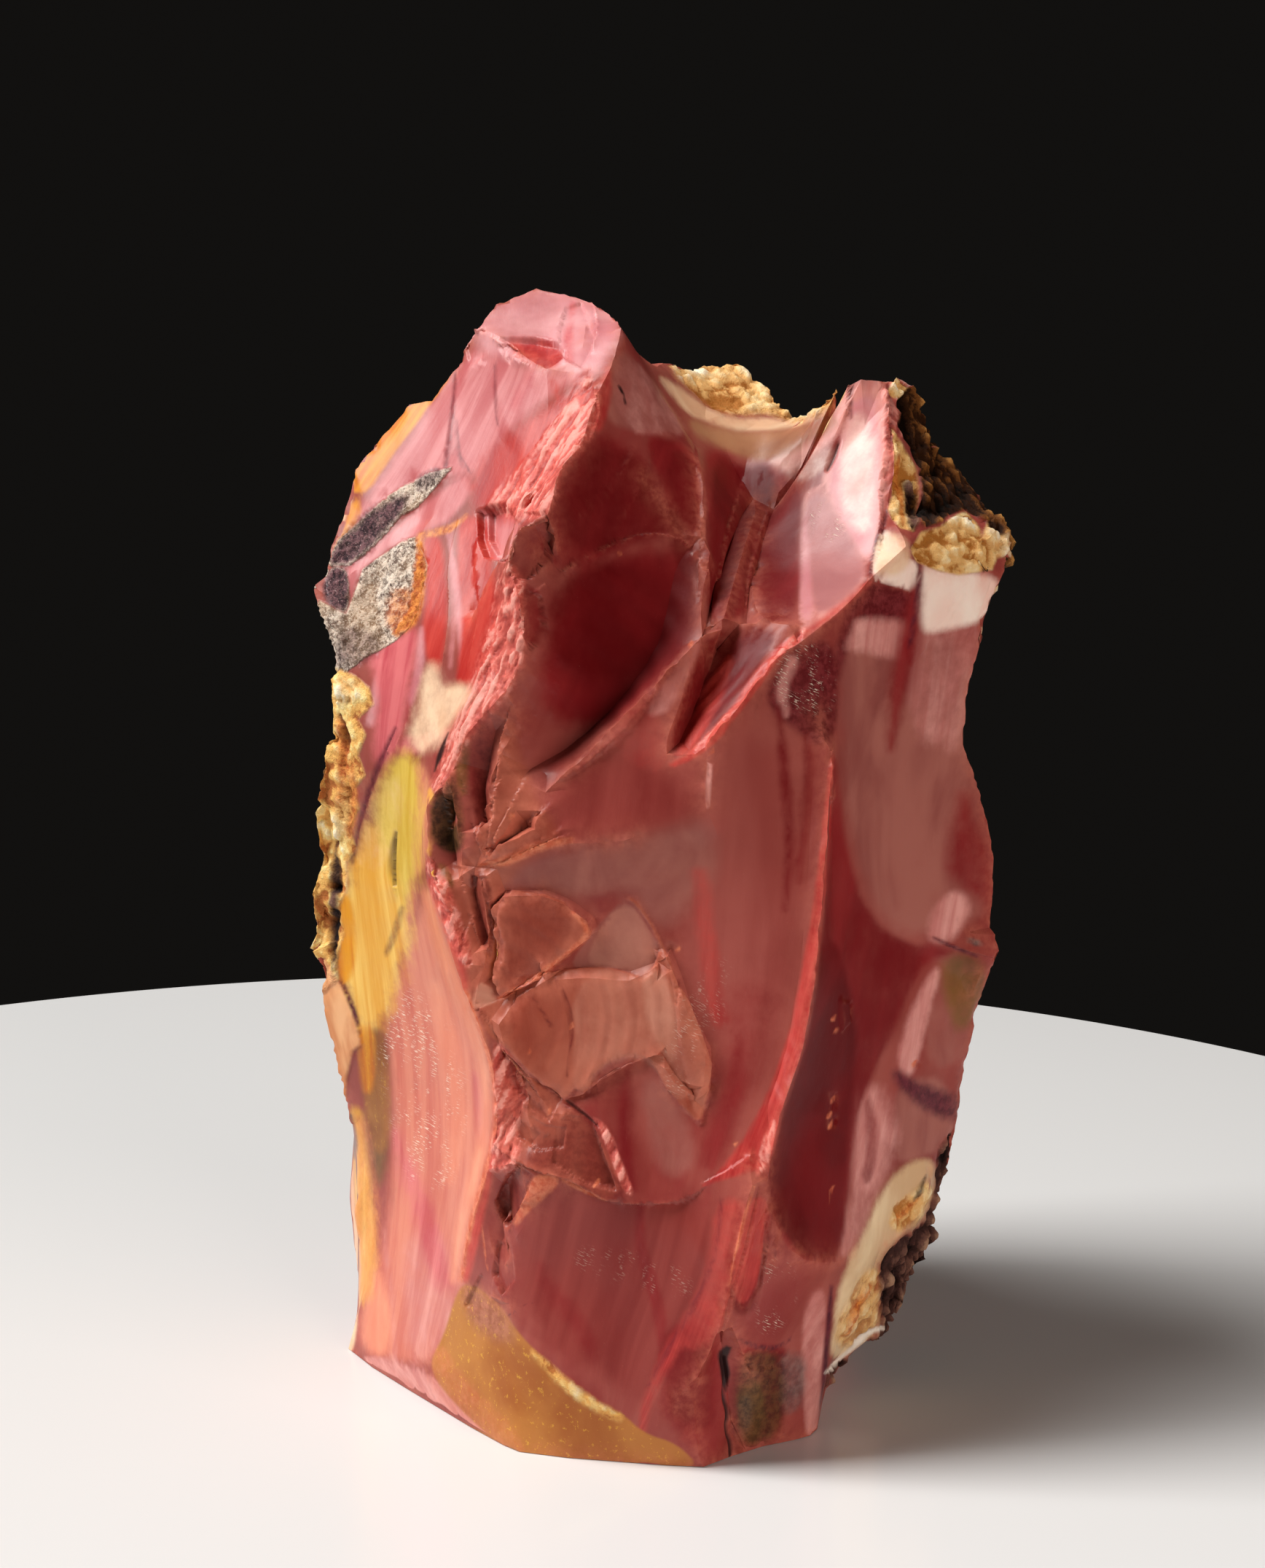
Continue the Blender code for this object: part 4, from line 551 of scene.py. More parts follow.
    # painted highlights: bright thin edges and small chips where the light catches them
    stroke("ember", [(-20, 56.2, 0.5), (-14.8, 59, 0.6), (-9.8, 63, 0.7), (-6, 66.2, 0.7), (-9, 69.4, 0.3)],
           0.4)
    stroke("ember", [(-22.6, 76.4, 0.6), (-18, 77.6, 1.4), (-13.4, 79.6, 1.0), (-9, 80.2, 0.5)], 0.6, 0.4)
    stroke("ember", [(-25, 57, 0.6), (-22.6, 50, 0.6), (-20.9, 44, 0.5), (-20.7, 36, 0.5),
                     (-22.4, 29, 0.6), (-25, 20, 0.7), (-26.2, 12, 0.6)], 0.35, 0.7)
    stroke("ember", [(-10.6, 27.9, 0.4), (-7.4, 26.2, 0.7), (-4.2, 24.8, 0.3)], 0.35, 0.5)
    patch("ember", [(-15, 29), (-10, 28), (-16, 23), (-18.5, 19.5), (-17, 24)], 0.5, 0.2)
    stroke("ember", [(18.5, 27, 0.2), (16.5, 20, 0.5), (14.6, 11, 0.3)], 0.3, 0.9)
    for a, b in ((-15.5, 48), (-9, 52), (6.8, 63.6), (30.2, 53), (30.6, 51), (30.4, 40.4), (29.8, 38),
                 (30, 36.4), (30.4, 26.6), (30.2, 24), (-24.8, 55), (42.6, 46), (11.6, 93.4), (-5.4, 27.4),
                 (15.6, 33.4), (-12.6, 38.6), (-26.4, 82.6), (-17.8, 84), (-2, 122.8), (8.6, 109.6)):
        stroke("ember", [(a - 0.35, b - 0.5, 0.2), (a, b, 0.7), (a + 0.3, b + 0.6, 0.1)], 0.25, 0.4)
    stroke("ember", [(-23, 20.6, 0.2), (-22.6, 17, 0.3), (-22, 13, 0.1)], 0.2, 0.8)


def paint_yellows(marks):
    """Yellow bands, cream, olive and the ochre facet."""
    patch, stroke = marks.patch, marks.stroke
    # yellow bands and cream
    patch("lime", [(-36.6, 91.4), (-34, 93), (-32.4, 94), (-31.4, 88), (-31.6, 80), (-32.6, 74), (-34, 68),
                   (-36, 66), (-38.4, 71), (-39, 77), (-38.4, 84)], 1.6, 0.9)
    patch("butter", [(-42, 78), (-39, 84), (-37, 80), (-35, 72), (-33, 66), (-34.6, 59), (-36.4, 54),
                     (-38.6, 50), (-41.4, 51), (-43.4, 58), (-43.8, 66)], 1.8)
    patch("butter", [(-43, 37), (-41.4, 40), (-40.2, 34), (-39.2, 24), (-39, 14), (-41, 7), (-42.4, 10)],
          1.2, 0.8)
    patch("ember", [(-42.4, 36), (-40.8, 38), (-39.6, 30), (-38.8, 22), (-38.8, 12), (-41, 8), (-42, 14)],
          1.4, -0.3)
    patch("amber", [(-44, 72), (-42, 72), (-41.2, 66), (-41.6, 60), (-43.6, 57.6), (-44.4, 64)], 0.6, 0.8)
    patch("amber", [(-41.2, 52), (-39, 52), (-38.8, 46), (-39.6, 41), (-41, 42)], 0.7, 0.3)
    patch("butter", [(-30.6, 88), (-30, 84), (-30.6, 78), (-29.8, 78), (-29.4, 84), (-29.4, 88)], 0.4, 0.5)
    patch("cream", [(-33, 95.4), (-31.4, 100), (-30.6, 105.4), (-28.8, 107), (-28.2, 103), (-24, 103.4),
                    (-22.8, 101.6), (-26.6, 98.6), (-28.8, 95), (-31.6, 93.2)], 1.5, 0.4)
    stroke("lilac", [(-27, 126, 0.2), (-25.6, 120, 0.8), (-24.9, 112, 1.1), (-24.2, 105, 1.4)], 0.5, 0.7)
    patch("cream", [(-40, 88), (-36, 90), (-35, 86), (-37, 80), (-39, 76), (-40.4, 80), (-39.8, 85)],
          2.0, -0.6)
    patch("cream", [(9, 145), (12, 143), (16, 142), (20, 142.4), (24, 141.4), (28, 143), (31, 147),
                    (30, 143.6), (27, 142), (23, 140.6), (19, 140.4), (15, 140.4), (11, 141.6),
                    (7.8, 143), (5.4, 146), (3.4, 149)], 0.5, 0.9)
    patch("buff", [(8, 142.4), (12, 141), (16, 140.2), (23, 140.8), (29, 143), (30, 141), (26, 139),
                   (22, 136.6), (18, 136), (13, 138), (9, 140)], 0.8, 0.8)
    patch("cream", [(35.4, 121), (36.2, 126), (39.6, 125.4), (41, 122.6), (39, 119.6), (36, 119.8)],
          0.8, 0.4)
    patch("cream", [(-41.4, 134.8), (-43.4, 130), (-46.4, 121.4), (-44.6, 121.6), (-42.6, 126.4),
                    (-40.4, 131.4)], 0.4, 0.9)
    stroke("cream", [(-42.9, 30, 1.2), (-43.2, 23, 1.6), (-42.3, 17, 1.4), (-42.6, 10, 1.6),
                     (-43.2, 4, 1.8), (-44, 0, 1.6)], 0.35)
    patch("buff", [(32.6, 13), (36, 22), (40, 29.6), (45, 31), (46, 27), (41, 19), (37, 12)], 1.4, 0.2)
    patch("straw", [(33.7, 16.2), (36, 21), (38, 26), (40, 29), (43, 31.2), (46, 30.9), (46, 27), (45, 23),
                    (43.6, 20.6), (41, 19), (39, 17), (37, 14.5), (37, 12), (37, 9), (37.6, 6), (37, 3),
                    (34, 0.5), (31, -1), (30.2, 1), (31, 5), (31.2, 9), (32.4, 13)], 0.7, 1.4)
    # olive and mustard, ochre facet
    patch("moss", [(-40.4, 50), (-38, 52), (-37, 47), (-36.8, 38), (-37.4, 30), (-38.6, 26), (-40, 30),
                   (-40.4, 40)], 1.2, 0.7)
    patch("ochre", [(-40, 50), (-38, 51), (-37.2, 46), (-37, 38), (-38, 31), (-40, 36), (-40, 44)], 1.2, 0.0)
    patch("moss", [(-25.2, 97), (-24.4, 97), (-24.4, 90), (-25, 86), (-26.4, 90)], 0.8, 0.4)
    patch("moss", [(-29.3, 77), (-27.4, 76.4), (-26.4, 73), (-28.3, 73.5)], 0.6, 0.6)
    patch("moss", [(46, 61), (48.4, 63), (52, 62.4), (53, 58.5), (51.4, 53), (49, 51), (47.6, 55)],
          1.4, 0.5)
    patch("moss", [(16.4, -5), (19.6, -3.6), (20.4, -8), (19.6, -14), (17.4, -14.6), (16.4, -9)], 0.8, 0.5)
    patch("ochre", [(-31.8, -2.4), (-29, 3), (-26.5, 11.3), (-24.2, 11), (-20.2, 8), (-17.4, 3.2),
                    (-13.1, -1.2), (-10.1, -4.3), (-5.2, -8), (-1.5, -9.5), (1.7, -12.8), (7, -14.4),
                    (11, -19), (-5, -18.4), (-17.5, -17), (-25, -10.8)], 0.3)
    patch("ember", [(-31.8, -2.4), (-30, 1), (-28.4, -1), (-26, -5), (-22, -9), (-18, -14), (-18, -17),
                    (-26, -10.6)], 1.6, -0.4)
    patch("dust", [(-26, 11), (-23.4, 10.6), (-20, 7.4), (-18, 4), (-19.5, 1.6), (-23.4, 4), (-25.4, 6.6)],
          1.6, 0.7)
    stroke("gold", [(-15.4, 0.2, 0.2), (-13, -1.9, 0.7), (-10.1, -5, 1.3), (-5.2, -8.8, 1.5),
                    (-2, -10.2, 0.6)], 0.8, 0.2)
    patch("slate", [(23, 0), (26.2, 0), (26.4, -5), (25.6, -9), (23, -9)], 1.4, 0.1)
    patch("slate", [(16.4, -8), (18, -6), (18.4, -11), (17, -13.4)], 0.9, 0.3)
    stroke("slate", [(-42.7, 38, 0.4), (-42.0, 34, 1.1), (-42.2, 31, 0.4)], 0.3)
    stroke("slate", [(50, 65.2, 0.5), (51, 64.8, 1.1), (52.2, 64.6, 0.5)], 0.4, 0.4)


def paint_veins(marks):
    """Purple veins, dark seams, and the painted shade of cracks and slits."""
    patch, stroke = marks.patch, marks.stroke
    # thin purple veins and dark seams
    stroke("wine", [(41.8, 119, 1.0), (41, 113, 2.6), (40.2, 108.4, 3.4), (39.4, 103.6, 3.2),
                    (38.6, 98, 1.4), (38.2, 94, 0.3)], 1.3, 0.7)
    patch("mauve", [(36, 107), (41, 107.6), (45, 108), (43, 102), (39, 99), (36, 101)], 3.0, -0.5)
    stroke("plum", [(41, 123.6, 0.9), (42.2, 121, 0.7), (41.8, 117.4, 0.7), (41.1, 112, 0.6),
                    (40.6, 109, 0.3)], 0.45, 0.8)
    stroke("plum", [(37, 129.2, 0.3), (36.8, 127.4, 0.5), (35.4, 123.9, 0.4), (35, 122.1, 0.4),
                    (34.7, 118.8, 0.3)], 0.25, 0.9)
    stroke("plum", [(40, 44.3, 1.2), (42.5, 41.8, 3.0), (46, 40, 3.8), (50, 38.6, 3.4)], 1.1, 0.7)
    stroke("plum", [(45, 65.5, 0.3), (48, 64, 0.5), (51.6, 62.6, 0.4)], 0.35, 0.6)
    stroke("plum", [(30.4, 11, 0.5), (30.1, 5, 0.8), (29.7, 0, 0.8), (29.3, -6, 0.7), (28.8, -13, 0.6)],
           0.35)
    stroke("plum", [(-25.5, 149, 0.3), (-26, 143, 0.6), (-26.6, 138.5, 0.7), (-27.2, 135, 0.4)], 0.45, 0.1)
    stroke("plum", [(-25.4, 141.6, 0.3), (-25.4, 137.5, 0.5), (-24.2, 134.8, 0.5), (-22.6, 134.5, 0.1)],
           0.4, 0.2)
    stroke("plum", [(-19.7, 150, 0.2), (-19.8, 145, 0.4), (-19.4, 141, 0.2)], 0.4, -0.1)
    stroke("plum", [(-35, 97, 0.4), (-37.5, 91.5, 1.0), (-39.4, 86.5, 0.9), (-40.5, 82, 0.8),
                    (-41.8, 77, 0.6)], 0.5, 0.5)
    stroke("plum", [(-36, 93.4, 0.3), (-38, 89, 0.5), (-39.8, 84.4, 0.3)], 0.3, 0.3)
    stroke("plum", [(-43.2, 84, 0.8), (-44.2, 80, 1.6), (-44.6, 74, 1.8), (-45.2, 70, 1.6),
                    (-44.8, 66, 1.4), (-44.5, 62, 1.0)], 0.5)
    stroke("plum", [(-44.8, 61, 0.3), (-42.9, 57.4, 0.6), (-41.8, 54, 1.0), (-41, 50.8, 0.4)], 0.35, 0.9)
    stroke("plum", [(-44.4, 47, 0.3), (-43.6, 42, 0.7), (-44.3, 38, 0.4)], 0.3, 0.5)
    stroke("plum", [(37, 147, 0.6), (37.4, 142, 1.4), (37, 139.3, 0.8)], 0.3)
    stroke("plum", [(38.7, 144.4, 0.5), (39, 141.4, 1.0), (38.1, 139.4, 0.5)], 0.3)
    stroke("plum", [(31.6, 142, 0.3), (31.4, 146, 0.9), (32, 149, 0.6)], 0.35, 0.6)
    stroke("plum", [(-36.8, 63, 0.3), (-35.4, 66.4, 0.8), (-34.4, 70, 0.3)], 0.6, 0.0)
    stroke("plum", [(13.6, 25, 0.2), (12.8, 16, 0.4), (9.6, 8, 0.5), (5, 0, 0.4), (2, -6, 0.2)], 0.5, -0.1)
    stroke("plum", [(-19, 6.3, 0.2), (-17.4, 7.3, 0.35), (-15.3, 8.5, 0.2)], 0.2, 0.3)
    stroke("plum", [(16.2, 2.6, 0.3), (19, 1.2, 0.8), (22, 1.0, 0.5), (25, 3, 0.2)], 0.4, 0.5)
    # cracks and slits, painted dark as their shade; the deep pocket right of the ridge, dark olive
    # partly its own and partly painted shade; under the overhang at the lower right, painted shadow
    stroke("pit", [(-2, 146.9, 0.4), (-1.4, 145.8, 0.4)], 0.15)
    stroke("pit", [(-1.2, 145.0, 0.35), (-1.0, 144.2, 0.35)], 0.15)
    stroke("pit", [(29.7, 138.6, 0.2), (29.1, 136.8, 0.4), (28.2, 134.8, 0.1)], 0.25, 0.4)
    stroke("pit", [(-35.2, 81.4, 0.1), (-35.6, 78.6, 0.4), (-35.8, 75.8, 0.5), (-35.4, 73.4, 0.1)],
           0.25, 0.0)
    stroke("pit", [(-27.2, 96.4, 0.2), (-28.4, 93.4, 0.9), (-29.4, 90.6, 0.2)], 0.2, 0.8)
    patch("pit", [(13, 0.4), (14.4, 1.5), (15.2, 1.2), (14.6, -0.6), (15, -3), (14.4, -6), (13.6, -3.4)],
          0.3, 0.9, sharp=True)
    stroke("pit", [(14.2, -3, 0.5), (13.9, -6.6, 0.3), (14.9, -9.4, 0.6), (14.4, -12, 0.3), (15.3, -15, 0.5),
                   (14.9, -17.5, 0.3)], 0.25, 0.7)
    stroke("pit", [(-10, 40.3, 0.3), (-8.3, 39, 0.4), (-6.5, 37.5, 0.3), (-5.2, 36.2, 0.1)], 0.2, 0.3)
    patch("pit", [(31, -1.6), (35.4, 0.6), (34.6, -1.4), (31.4, -4.6)], 0.5, 0.8)
    stroke("pit", [(44.6, 28.6, 0.2), (43.4, 26, 1.0), (42.8, 24.6, 0.3)], 0.3, 0.4)
    patch("murk", [(-30, 85), (-28.5, 90), (-26, 89), (-25, 84), (-25, 79), (-27, 78), (-30, 80)],
          0.5, 0.9)
    stroke("murk", [(-27.6, 92, 0.4), (-26.4, 88, 0.6), (-27, 80, 0.4)], 0.5, 0.6)


def paint_crusts(marks):
    """Druse, golden and brown crust, and the rust at their borders."""
    patch, stroke = marks.patch, marks.stroke
    # coarse parts: crystal druse, golden and brown crust, rust at their borders
    patch("amber", [(-25, 150.8), (-28, 147.6), (-29.5, 146.1), (-32, 145.6), (-35, 143.2), (-38, 138.8),
                    (-41, 135.8), (-41.8, 132), (-39.6, 131.4), (-38.2, 132), (-36.2, 135),
                    (-33.7, 138.5), (-31.3, 141.4), (-29.3, 144.4), (-26.5, 148.2)], 0.4)
    patch("amber", [(-40.6, 131), (-42.4, 126.6), (-44.4, 122), (-43.2, 122), (-41, 126), (-39, 129.6)],
          0.4, 0.6)
    patch("druse", [(-26, 135.3), (-29.5, 134.4), (-33, 132.7), (-35.6, 131.1), (-40, 127.3),
                    (-43, 124.6), (-45, 121), (-41.4, 121), (-38.8, 122.7), (-36, 125.6),
                    (-33.7, 128.2), (-31.7, 129.2), (-29.1, 131.8)], 0.2, sharp=True)
    patch("druse", [(-31.7, 125.2), (-33.3, 124.7), (-39.4, 120.5), (-40.4, 117.5), (-42, 113.9),
                    (-46, 116), (-47, 112), (-43.2, 104.6), (-40, 107), (-37.1, 108.6), (-34.8, 110),
                    (-32.8, 111.9), (-31.5, 114.2), (-30.9, 116.9), (-30, 121)], 0.2, sharp=True)
    patch("druse", [(-44.6, 120.9), (-41.7, 120.6), (-41.3, 116.9), (-42, 113.7), (-44.6, 116)], 0.25)
    # darker grey-brown over parts of the crystal pockets
    patch("dark_druse", [(-32, 132), (-38, 129.4), (-40, 127.3), (-43, 124.6), (-45, 121), (-41.4, 121),
                   (-38.8, 122.7), (-36, 125.8), (-33, 129)], 0.9, 0.9)
    patch("dark_druse", [(-44.6, 120.9), (-41.7, 120.6), (-41.3, 116.9), (-42, 113.7), (-45.6, 116)], 0.4, 0.9)
    patch("dark_druse", [(-31, 134.4), (-27, 135.4), (-29, 132.4), (-32, 131.4)], 0.5, 0.2)
    patch("dark_druse", [(-43, 112), (-38, 110.6), (-36.6, 109), (-43, 105)], 1.4, 0.1)
    stroke("rust", [(-30.9, 125.4, 0.8), (-28.4, 125.9, 1.1), (-26, 126.5, 1.0), (-24.2, 128.4, 0.3)],
           0.35, 0.8)
    stroke("rust", [(-31, 124.8, 1.0), (-31, 120.6, 1.9), (-31.6, 116.4, 2.2), (-32.6, 113, 2.4),
                    (-34.6, 111.2, 1.2)], 0.5, 0.9)
    patch("rust", [(-35.6, 117.4), (-32.4, 117.6), (-32, 112.6), (-34.8, 110.6), (-36, 113)], 1.0, 0.3)
    stroke("rust", [(-43.4, 98, 0.6), (-42.6, 92, 1.4), (-43.6, 86, 0.8)], 0.8, 0.4)
    patch("gold", [(-41, 104.8), (-38.8, 103), (-38.2, 100.6), (-40.6, 98.4), (-39.4, 96), (-40.6, 93),
                   (-39.6, 90), (-41.2, 88), (-40.6, 85), (-42, 82), (-41.2, 79), (-42.6, 77),
                   (-42.6, 73), (-43.8, 70), (-43.2, 66), (-44.4, 62), (-44, 59), (-46, 57), (-52, 60),
                   (-52, 106), (-44, 106)], 0.4, sharp=True)
    patch("honey", [(-43.6, 104.6), (-41, 104.8), (-39.6, 102.6), (-42, 100.4), (-44, 101)], 0.7, 0.4)
    patch("honey", [(-43.8, 88), (-42, 89), (-41.6, 84), (-43.6, 80), (-44.6, 83)], 0.7, 0.3)
    stroke("bark", [(-43.2, 99, 0.3), (-42.2, 95, 1.2), (-43, 91, 0.5)], 0.4, 0.7)
    stroke("bark", [(-44, 80, 0.3), (-44.4, 74, 1.6), (-44.8, 66, 1.4), (-44.8, 60, 0.3)], 0.5, 0.9)
    stroke("rust", [(-41.6, 92, 0.6), (-41.2, 86, 1.6), (-42, 81, 0.8)], 0.6, 0.5)
    stroke("pink", [(-42.8, 78, 0.4), (-43, 72, 1.0), (-43.6, 66, 0.6)], 0.5, 0.6)
    patch("honey", [(5.5, 149), (9, 146), (12, 143.4), (16, 142.8), (20, 143.2), (22.5, 141.9), (24, 141.6),
                    (28, 143.4), (30, 145.4), (31, 150), (31, 156), (4, 156)], 0.8)
    patch("honey", [(40.7, 123.5), (42.1, 125.9), (44.8, 126.6), (47.4, 128.5), (48.7, 128.8),
                    (50.2, 127), (51.6, 124.6), (53.6, 123), (52.6, 120.4), (50, 120), (47.7, 119.6),
                    (44.7, 120.2), (41.7, 121.6)], 0.3, sharp=True)
    patch("honey", [(52, 128), (55.6, 125), (54, 121.6), (51.6, 123.4), (51, 125.6)], 0.3, 0.6)
    patch("honey", [(37, 145.4), (37.6, 148.6), (40, 149.6), (41, 147.4), (39.4, 145)], 0.3, 0.9)
    patch("honey", [(37.8, 141), (39.4, 138), (41.4, 134.6), (41.8, 130), (41, 126), (39, 126.6),
                    (37.2, 129), (37.8, 131), (38.2, 134)], 0.3, sharp=True)
    patch("bark", [(39.6, 134), (41.2, 133), (42, 129), (41.4, 126), (40.2, 126.4), (39.8, 130)], 0.4, 0.8)
    stroke("rust", [(38.6, 137, 0.3), (39, 131.6, 0.8), (39.4, 127.4, 0.4)], 0.4, 0.4)
    patch("honey", [(31.4, 1), (31.8, 6), (33.6, 9), (35.4, 13), (37.6, 14), (37.6, 9), (37.6, 5),
                    (35, 1.6)], 0.9, 0.4)
    stroke("rust", [(32.6, 3, 0.4), (34.4, 7.4, 1.0), (36.4, 11, 0.6)], 0.5, 0.6)
    patch("honey", [(39, 20.4), (39.6, 23.4), (42, 25.4), (44.2, 27.6), (45.6, 26.6), (44.2, 22.2),
                    (41.4, 19.6)], 0.6, 0.7)
    stroke("rust", [(40, 21.4, 0.3), (41.8, 22.6, 0.9), (43.8, 25.6, 0.4)], 0.4, 0.5)
    # bronze: dark brown crust, painted darker still as the right peak's shadow falls on it
    patch("bronze", [(38.6, 141), (38.4, 145), (40.6, 147.4), (43, 148), (57, 132), (57, 125), (54, 125),
                     (51.4, 127.4), (48.7, 129.2), (46, 128.4), (44.8, 127), (42.1, 126.6),
                     (41.6, 128), (42.2, 131), (41.6, 135.4), (39.8, 139)], 0.3, sharp=True)
    patch("bark", [(51, 37), (48, 35), (46.5, 33), (46.2, 31), (46.1, 27), (45.1, 23), (43.6, 20.4),
                   (41.4, 18.6), (39.3, 16.6), (38, 14.4), (37.8, 12), (38, 9), (38, 6), (37.2, 3),
                   (35, 1), (33, -0.4), (31, -1.4), (30, -2.5), (29.4, -7), (33, -8), (43, 4), (50, 14),
                   (54, 30)], 0.3, sharp=True)
    stroke("plum", [(48.6, 35, 0.6), (47.6, 31, 1.4), (47.4, 26, 1.2), (46.4, 21.6, 0.6)], 0.5, 0.8)
    patch("hide", [(-46.4, 62.4), (-44.5, 60), (-42.8, 56), (-41.4, 52), (-40.8, 49), (-42, 48),
                   (-43, 44), (-43.4, 40), (-44.3, 38), (-45, 40), (-47, 47), (-48, 57)], 0.25, sharp=True)
    stroke("rim", [(29.6, -3, 0.3), (31.4, -0.8, 0.5), (34.6, 1.6, 0.6), (36.6, 3.6, 0.6),
                   (38.6, 5, 0.3)], 0.25, 0.9)
    stroke("rim", [(-43.4, 131, 0.3), (-45.4, 125.6, 0.8), (-46.8, 120.6, 0.3)], 0.3, 0.7)


def paint_bruises(marks):
    """Torn bands that catch the light, and the zones of small tick marks."""
    patch = marks.patch
    # torn, bruised bands that catch the light, and the zones of small tick marks
    patch("torn", [(-6.2, 150), (-7.4, 147), (-11, 142), (-15, 136), (-20, 131.4), (-21, 129),
                   (-15, 127.6), (-12, 129), (-10.6, 135.4), (-7.4, 138.6), (-5.4, 144)], 1.4, 2.0)
    patch("torn", [(-16.4, 121), (-19, 121.4), (-20.5, 112), (-24.4, 101), (-27.6, 95), (-30, 88),
                   (-28.4, 87), (-25, 95), (-18.8, 101.6), (-16.2, 106), (-16, 114)], 1.1, 2.0)
    patch("torn", [(-20.4, 50), (-21.2, 46), (-20.6, 40), (-21, 34), (-22, 29.5), (-20.2, 29), (-17, 31),
                   (-17.6, 36), (-16, 42), (-18.6, 47)], 0.8, 0.5)
    patch("torn", [(-6.4, 38), (-4.4, 35), (-2.6, 29.6), (-0.8, 25.6), (0.2, 26), (-1.8, 31), (-3.8, 36.6)],
          0.4, 0.4)
    patch("torn", [(19.4, 33), (22, 39), (20.6, 30), (18.4, 28)], 0.5, 0.2)
    patch("torn", [(-30.8, 78), (-30, 72), (-25.6, 61), (-23.8, 61), (-26, 70), (-28.6, 76)], 0.7, 0.4)
    patch("torn", [(36, 148), (39.6, 148), (40, 141), (38, 138.6), (37.2, 133), (36.2, 134), (36.8, 142)],
          0.5, -0.1)
    patch("torn", [(8, 92.4), (14, 99), (20, 106.6), (26, 111.6), (24.6, 112), (19, 105.6), (12.6, 97.2)],
          0.5, 0.7)
    patch("ticks", [(-38, 50), (-36.4, 57), (-31, 57), (-27.4, 51), (-25.4, 45), (-25.6, 33), (-29, 26),
                    (-34.4, 29), (-36.4, 40)], 2.0)
    patch("ticks", [(20.5, 107), (29.6, 110), (29.8, 100), (24, 99.4), (21, 102)], 1.2, 0.6)
    patch("ticks", [(19.6, 14), (24, 15.6), (24.6, 8), (22, 3.6), (19, 4.6)], 1.2, 0.6)
    patch("ticks", [(25, 131), (29, 131.6), (31, 126), (27, 124)], 1.5, 0.2)
    patch("ticks", [(-8, 17), (2, 15), (9, 12), (8, 9.6), (0, 12), (-8, 14.4)], 1.5, -0.4)
    patch("ticks", [(4, 46), (10, 60), (14, 62), (12, 50), (8, 40)], 2.0, -0.2)


